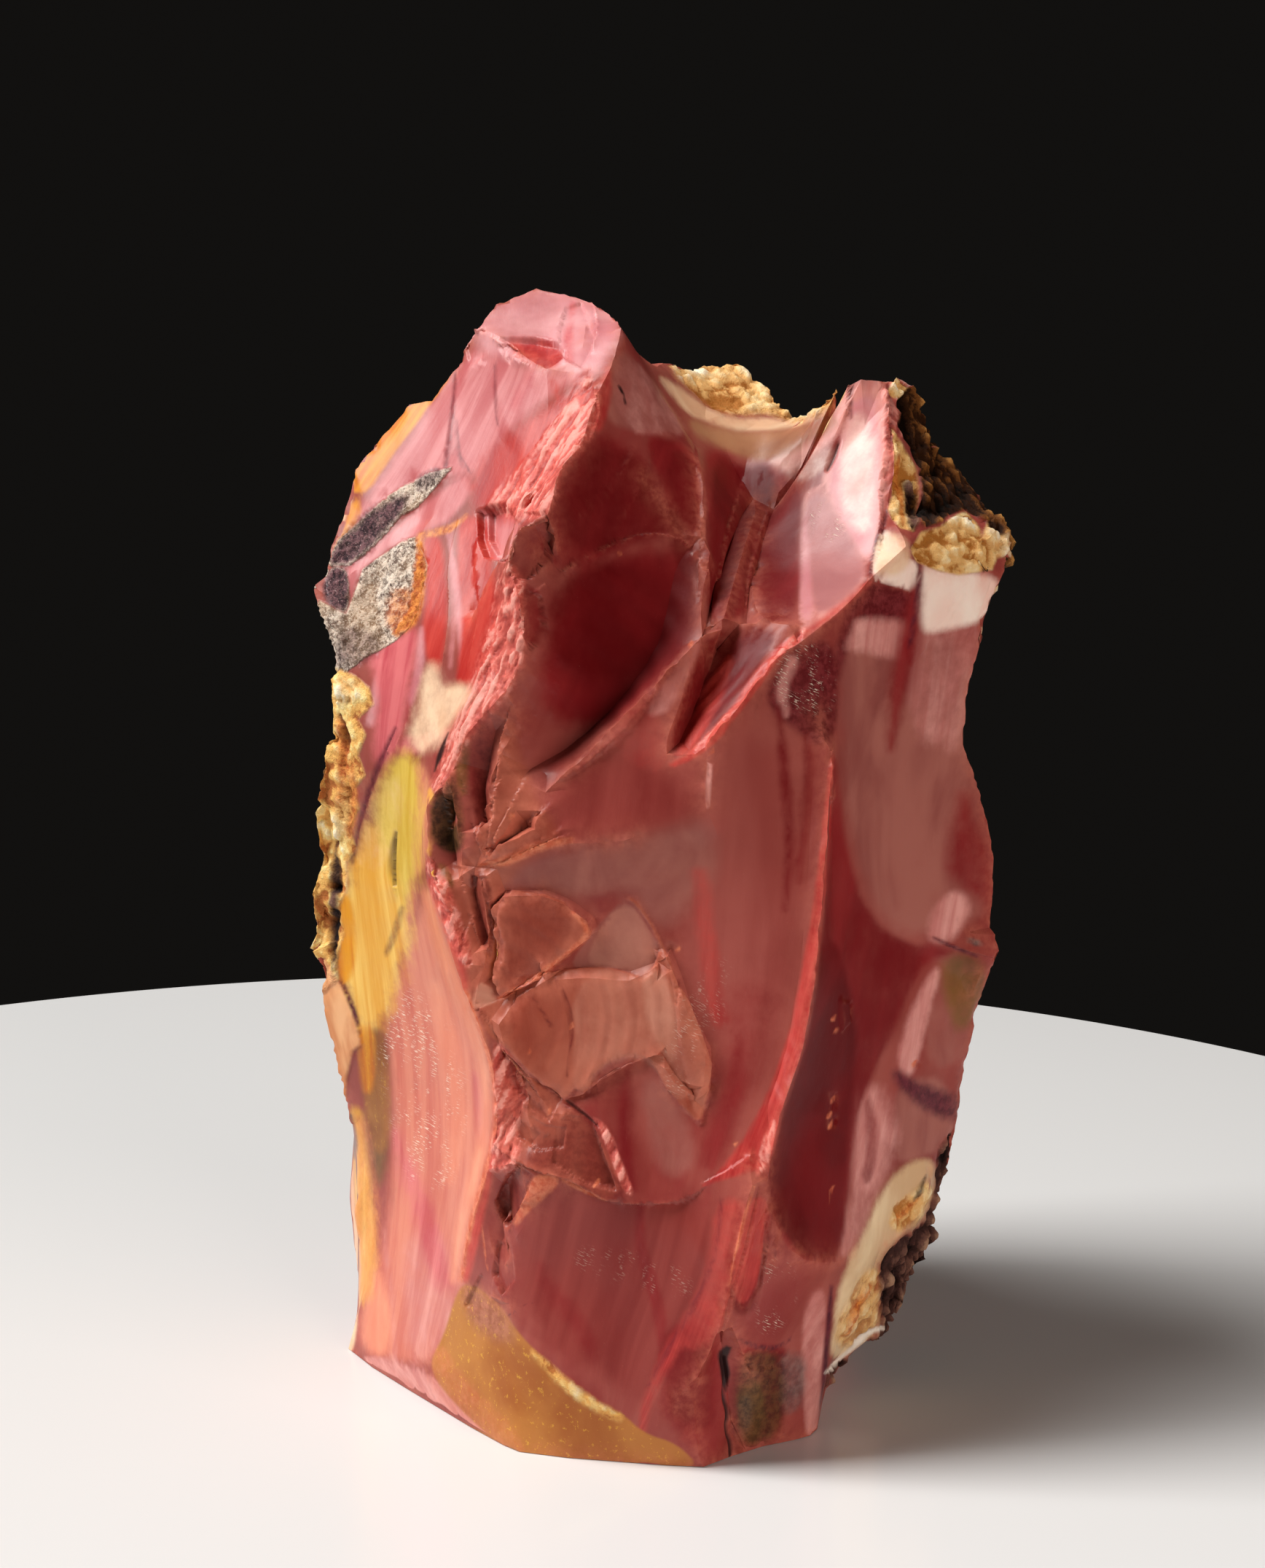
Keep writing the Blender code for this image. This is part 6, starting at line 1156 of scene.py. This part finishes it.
def cloud_of(place, size, detail=3.0, rough=0.55, bend=0.0):
    return Wire.add("ShaderNodeTexNoise", {}, {"Vector": place, "Scale": 1.0 / size, "Detail": detail,
                                               "Roughness": rough, "Distortion": bend})


def tint(red, green, blue):
    """A colour given as it looks on a screen, made linear."""
    parts = [part / 255 for part in (red, green, blue)]
    return [part / 12.92 if part <= 0.04045 else ((part + 0.055) / 1.055) ** 2.4 for part in parts] + [1.0]


jasper = bpy.data.materials.new("mookaite_jasper")
jasper.use_nodes = True
Wire.tree = jasper.node_tree
shader = jasper.node_tree.nodes["Principled BSDF"]
place = Wire.add("ShaderNodeTexCoord", {}, {}, 3).moved((1 / MM, 1 / MM, 1 / MM))
clouds = cloud_of(place, 16.0, 4.0, 0.5, 0.6)
grain = Wire.add("ShaderNodeAttribute", {"attribute_name": "grain"}, {}, 1)
streaks = cloud_of(grain.moved((1.0, 0.5, 0.06)), 2.6, 5.0, 0.62, 0.2)
bands = cloud_of(grain.moved((1.0, 0.5, 0.09), (40, 9, 3)), 8.0, 3.0, 0.5, 0.5)
flow = cloud_of(place.moved((1.0, 0.8, 0.45), (40, 9, 3)), 9.0, 4.0, 0.5, 0.8)
fine = cloud_of(place, 1.1, 4.0, 0.65)
sand = cloud_of(place, 0.32, 3.0, 0.7)
waver = cloud_of(place.moved((1, 1, 1), (17, 5, 31)), 4.5, 5.0, 0.6) - 0.5
ragged = cloud_of(place.moved((1, 1, 1), (3, 50, 11)), 1.2, 4.0, 0.7) - 0.5


def mark(name, wobble=0.0, raggedness=0.0):
    """Zero to one over a painted zone, its border shaken by the stone's own unevenness."""
    value = Wire.add("ShaderNodeAttribute", {"attribute_name": name}, {}, 2)
    if wobble:
        value = value + waver * wobble
    if raggedness:
        value = value + ragged * raggedness
    return value.between(-1.0, 1.0)


# the plain rose ground, clouded and faintly streaked
colour = mixed(clouds.between(0.32, 0.68), tint(130, 50, 46), tint(156, 76, 68))
colour = mixed(bands.between(0.45, 0.68) * 0.5, colour, tint(136, 44, 46))
colour = mixed(bands.between(0.55, 0.32) * 0.35, colour, tint(168, 94, 84))
# from each broad zone to the finest vein: its two shades, what clouds them, and its border
ZONES = (
    ("rose", (146, 66, 60), (166, 86, 78), bands, 1.6, 0.3),
    ("brick", (122, 42, 39), (147, 64, 58), bands, 1.6, 0.3),
    ("dusk", (142, 76, 70), (164, 98, 88), flow, 1.6, 0.3),
    ("mauve", (92, 24, 28), (118, 42, 46), fine, 1.0, 0.6),
    ("coral", (196, 102, 86), (212, 128, 106), streaks, 1.2, 0.4),
    ("pink", (198, 122, 116), (222, 156, 148), streaks, 1.8, 0.6),
    ("lilac", (194, 116, 122), (224, 164, 166), clouds, 1.4, 0.5),
    ("shell", (244, 204, 190), (252, 232, 218), flow, 1.2, 0.6),
    ("bloom", (166, 102, 102), (190, 124, 122), clouds, 1.2, 0.5),
    ("blush", (192, 100, 102), (216, 138, 138), streaks, 1.4, 0.5),
    ("rasp", (184, 68, 78), (214, 112, 114), streaks, 1.6, 0.8),
    ("peach", (222, 130, 100), (236, 156, 124), flow, 1.0, 0.5),
    ("wine", (112, 20, 24), (140, 36, 38), bands, 1.4, 0.5),
    ("garnet", (92, 10, 14), (112, 18, 22), clouds, 1.2, 0.4),
    ("blood", (162, 38, 40), (198, 72, 66), streaks, 1.4, 0.6),
    ("scarlet", (172, 36, 32), (202, 70, 60), streaks, 1.2, 0.5),
    ("salmon", (150, 68, 52), (174, 94, 74), flow, 0.5, 0.3),
    ("tan", (188, 120, 100), (208, 146, 124), clouds, 0.8, 0.3),
    ("petal", (94, 26, 26), (122, 46, 40), fine, 0.4, 0.4),
    ("lime", (204, 164, 60), (222, 190, 88), streaks, 2.2, 1.0),
    ("butter", (224, 160, 60), (242, 198, 104), streaks, 2.4, 0.9),
    ("moss", (92, 60, 28), (128, 90, 46), clouds, 1.4, 0.8),
    ("cream", (224, 176, 140), (244, 210, 174), flow, 1.6, 0.7),
    ("buff", (150, 98, 72), (178, 126, 92), clouds, 1.0, 0.5),
    ("straw", (206, 168, 128), (236, 208, 168), clouds, 1.3, 1.0),
    ("ochre", (156, 88, 38), (182, 118, 56), clouds, 0.3, 0.3),
    ("dust", (150, 88, 66), (176, 112, 88), fine, 1.2, 0.8),
    ("slate", (70, 66, 66), (108, 98, 94), fine, 1.4, 0.8),
    ("plum", (74, 22, 36), (104, 40, 52), fine, 0.6, 0.8),
    ("amber", (198, 104, 6), (224, 150, 30), streaks, 0.7, 0.5),
    ("murk", (46, 32, 20), (86, 62, 34), fine, 0.5, 0.8),
    ("ember", (204, 96, 64), (226, 136, 100), fine, 0.8, 0.9),
)
for name, dark, light, clouding, wobble, raggedness in ZONES:
    shades = mixed(clouding.between(0.36, 0.66), tint(*dark), tint(*light))
    colour = mixed(mark(name, wobble, raggedness), colour, shades)
# growth rings in the flake remnants and specks in the ochre face
sheet = Wire.add("ShaderNodeAttribute", {"attribute_name": "sheet"}, {}, 1)
from_blow = Wire.add("ShaderNodeVectorMath", {"operation": "DISTANCE"}, {0: sheet, 1: (*BLOW, 0)}, 1)
rings = Wire.maths("SINE", from_blow * 1.7 + waver * 4.0).between(0.2, 1.0)
colour = mixed(mark("salmon") * rings * 0.16, colour, tint(122, 50, 40))
specks = cloud_of(place.moved((1, 1, 1), (5, 5, 5)), 0.9, 4.0, 0.75).between(0.58, 0.66)
colour = mixed(mark("ochre") * specks * 0.45, colour, tint(230, 180, 66))
# arrises painted paler and warmer: partly a painted glow of light let through thin edges, partly dusty
# bruising
arris = Wire.add("ShaderNodeAttribute", {"attribute_name": "arris"}, {}, 2)
colour = mixed(arris * (fine.between(0.3, 0.7) * 0.3 + 0.1), colour, tint(222, 130, 104))
# painted highlights along the lips of steps and the edges of scars and plates
crisp = Wire.add("ShaderNodeAttribute", {"attribute_name": "lines"}, {}, 2)
colour = mixed(crisp * fine.between(0.38, 0.62) * 0.3, colour, tint(226, 136, 112))
knobs = Wire.add("ShaderNodeAttribute", {"attribute_name": "knobs"}, {}, 2)
# torn bands: own bright red, with painted highlights on splinter tops and painted shade in hollows
torn = mark("torn", 1.4, 1.8)
colour = mixed(torn * (fine.between(0.3, 0.7) * 0.4 + 0.4), colour, tint(234, 114, 100))
colour = mixed(torn * (knobs + fine).between(0.45, 1.1) * 0.65, colour, tint(250, 178, 164))
colour = mixed(torn * knobs.between(-0.1, -0.6) * 0.5, colour, tint(140, 26, 28))
# small pressure marks lie like dashes across the fracture
dashes = cloud_of(sheet.turned((0, 0, 0.5)).moved((0.75, 3.6, 1.0)), 0.65, 2.0, 0.4)
rows = cloud_of(sheet.turned((0, 0, 0.15)).moved((1.0, 0.3, 1.0), (7, 2, 0)), 2.4, 4.0, 0.6)
ticks = mark("ticks", 1.6) * dashes.between(0.575, 0.62) * rows.between(0.46, 0.58)
colour = mixed(ticks * 0.65, colour, tint(250, 226, 206))
# coarse grey druse, golden and dark brown crust, rust along their borders
rough_grain = fine * 0.6 + sand * 0.4
druse = mark("druse", 0.5, 0.9)
stony = mixed(rough_grain.between(0.40, 0.58), tint(104, 86, 78), tint(238, 220, 202))
stony = mixed(sand.between(0.60, 0.66) * 0.8, stony, tint(250, 240, 226))
colour = mixed(druse, colour, mixed(clouds.between(0.45, 0.6) * 0.4, stony, tint(186, 142, 96)))
# darker grey-brown over parts of the crystal pockets, with pale specks
dark_druse = mark("dark_druse", 0.8, 1.2)
dark_druse_grain = mixed(rough_grain.between(0.42, 0.60), tint(44, 26, 32), tint(122, 84, 88))
colour = mixed(dark_druse, colour, mixed(sand.between(0.64, 0.70), dark_druse_grain, tint(206, 184, 178)))


def crusty(under, name, hollow, shaded, lit, knob):
    """The colour with a crust laid over it, from painted shade in the crust's hollows to painted
    light on the tops of its knobs, and how far the crust covers it."""
    there = mark(name, 0.7, 1.2)
    height_in = knobs + (rough_grain - 0.5) * 1.4
    shades = mixed(height_in.between(-0.7, -0.2), tint(*hollow), tint(*shaded))
    shades = mixed(height_in.between(-0.1, 0.35), shades, tint(*lit))
    shades = mixed(height_in.between(0.35, 0.9), shades, tint(*knob))
    return mixed(there, under, shades), there


# each crust in its hollows, in its shade, in the light and on its knobs: painted shade and light
# over the crust's own colours
crust = druse
for name, hollow, shaded, lit, knob in (
        ("gold", (178, 106, 52), (240, 184, 102), (252, 220, 144), (254, 238, 192)),
        ("honey", (176, 112, 50), (228, 178, 112), (242, 208, 152), (252, 236, 204)),
        # bronze is painted darker than bark as the right peak's shadow
        ("bronze", (18, 10, 6), (48, 26, 14), (112, 68, 32), (190, 134, 72)),
        ("bark", (24, 13, 12), (62, 38, 34), (104, 70, 60), (160, 124, 100))):
    colour, there = crusty(colour, name, hollow, shaded, lit, knob)
    crust = crust + there
crust = Wire.maths("MINIMUM", crust, 1.0)
hide = mark("hide", 0.3, 0.4)
colour = mixed(hide, colour, mixed(flow.between(0.4, 0.6), tint(206, 132, 84), tint(236, 178, 128)))
rust = mark("rust", 1.0, 1.4)
colour = mixed(rust, colour, mixed(fine.between(0.36, 0.64), tint(172, 80, 30), tint(226, 140, 66)))
colour = mixed(mark("rim", 0.4, 0.8), colour, tint(240, 228, 214))
# painted shade in cracks and slits and painted shadow under the overhang
colour = mixed(mark("pit", 0.3, 0.4), colour, tint(46, 24, 24))
colour = mixed((1 - crust) * sand.between(0.66, 0.78) * 0.15, colour, tint(220, 150, 130))

# polished-looking fractures, dull ochre and crust, and a fine frost of chips on the edges
rough = 0.27 + fine * 0.12 + mark("ochre") * 0.10 + mark("wine") * 0.16 + torn * 0.12
rough = rough + crust * 0.45 + arris * 0.08
height = fine * 0.02 + sand * 0.008 + streaks * 0.07
height = height + torn * ragged * 0.10 + ticks * 0.05 + crust * (fine * 0.35 + sand * 0.16)
bump = Wire.add("ShaderNodeBump", {}, {"Strength": 1.0, "Distance": MM, "Height": height})
Wire.tree.links.new(colour.socket, shader.inputs["Base Color"])
Wire.tree.links.new(rough.socket, shader.inputs["Roughness"])
Wire.tree.links.new(bump.socket, shader.inputs["Normal"])
shader.inputs["IOR"].default_value = 1.54
shader.inputs["Specular IOR Level"].default_value = 0.2
shader.inputs["Subsurface Weight"].default_value = 0.06
shader.inputs["Subsurface Radius"].default_value = (1.0, 0.35, 0.22)
shader.inputs["Subsurface Scale"].default_value = 2.4 * MM
stone.data.materials.append(jasper)
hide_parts("stone")
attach(stone, "root")

# ------------------------------------------------------------------ the table top
# A round, pale, slightly glossy table top under the stone. It is only the floor, a flat disc
# with no thickness.
TABLE_MIDDLE, TABLE_RADIUS = (-0.0367, 0.0169), 0.2332
bpy.ops.mesh.primitive_circle_add(vertices=192, radius=TABLE_RADIUS, fill_type="NGON",
                                  location=(*TABLE_MIDDLE, -0.0001))
floor = bpy.context.object
floor.name = "table_top"
white = bpy.data.materials.new("pale_table")
white.use_nodes = True
white.node_tree.nodes["Principled BSDF"].inputs["Base Color"].default_value = (0.73, 0.73, 0.725, 1)
white.node_tree.nodes["Principled BSDF"].inputs["Roughness"].default_value = 0.22
floor.data.materials.append(white)

# ------------------------------------------------------------------ light
# One tall soft window high on the left and a weak, warm fill from the right, in a dark room.
# The fill is kept out of reflections, so that only the window glints on the broken faces.
AIM = Vector((0.0, 0.0, 0.08))


def soft_box(name, place, size, power, colour, glossy=True):
    """An area lamp facing the stone, unseen itself: its place and size in metres, power in watts."""
    light = bpy.data.lights.new(name, "AREA")
    light.shape = "RECTANGLE"
    light.size, light.size_y = size
    light.energy = power
    light.color = colour
    lamp = bpy.data.objects.new(name, light)
    lamp.location = place
    lamp.rotation_euler = (AIM - Vector(place)).to_track_quat("-Z", "Y").to_euler()
    lamp.visible_camera = False
    lamp.visible_glossy = glossy
    bpy.context.scene.collection.objects.link(lamp)


soft_box("window_left", (-1.56, -0.12, 1.88), (0.9, 2.2), 104.0, (1.0, 0.98, 0.96))
soft_box("room_right", (1.25, -1.45, 0.45), (1.4, 0.9), 24.5, (1.0, 0.90, 0.82), False)
world = bpy.data.worlds.new("dark_room")
world.use_nodes = True
world.node_tree.nodes["Background"].inputs["Color"].default_value = (0.006, 0.0055, 0.005, 1)
bpy.context.scene.world = world
bpy.context.scene.view_settings.view_transform = "Standard"

# ------------------------------------------------------------------ camera
# A long lens a little above the middle of the stone, tilted down. It stands where the upright
# sheet is looked at from, so the lines drawn on that sheet fall where they were drawn.
LENS_PIXELS, PICTURE_HEIGHT, TILT = 3472.0, 2151.0, 9.0
eye = bpy.data.cameras.new("eye")
eye.sensor_fit = "VERTICAL"
eye.sensor_height = 36.0
eye.lens = 36.0 * LENS_PIXELS / PICTURE_HEIGHT
camera = bpy.data.objects.new("eye", eye)
bpy.context.scene.collection.objects.link(camera)
camera.location = [float(part) * MM for part in np.array((0.0, -EYE_BACK, EYE_UP)) - SHEET_MIDDLE]
camera.rotation_euler = (math.radians(90 - TILT), 0, 0)
bpy.context.scene.camera = camera
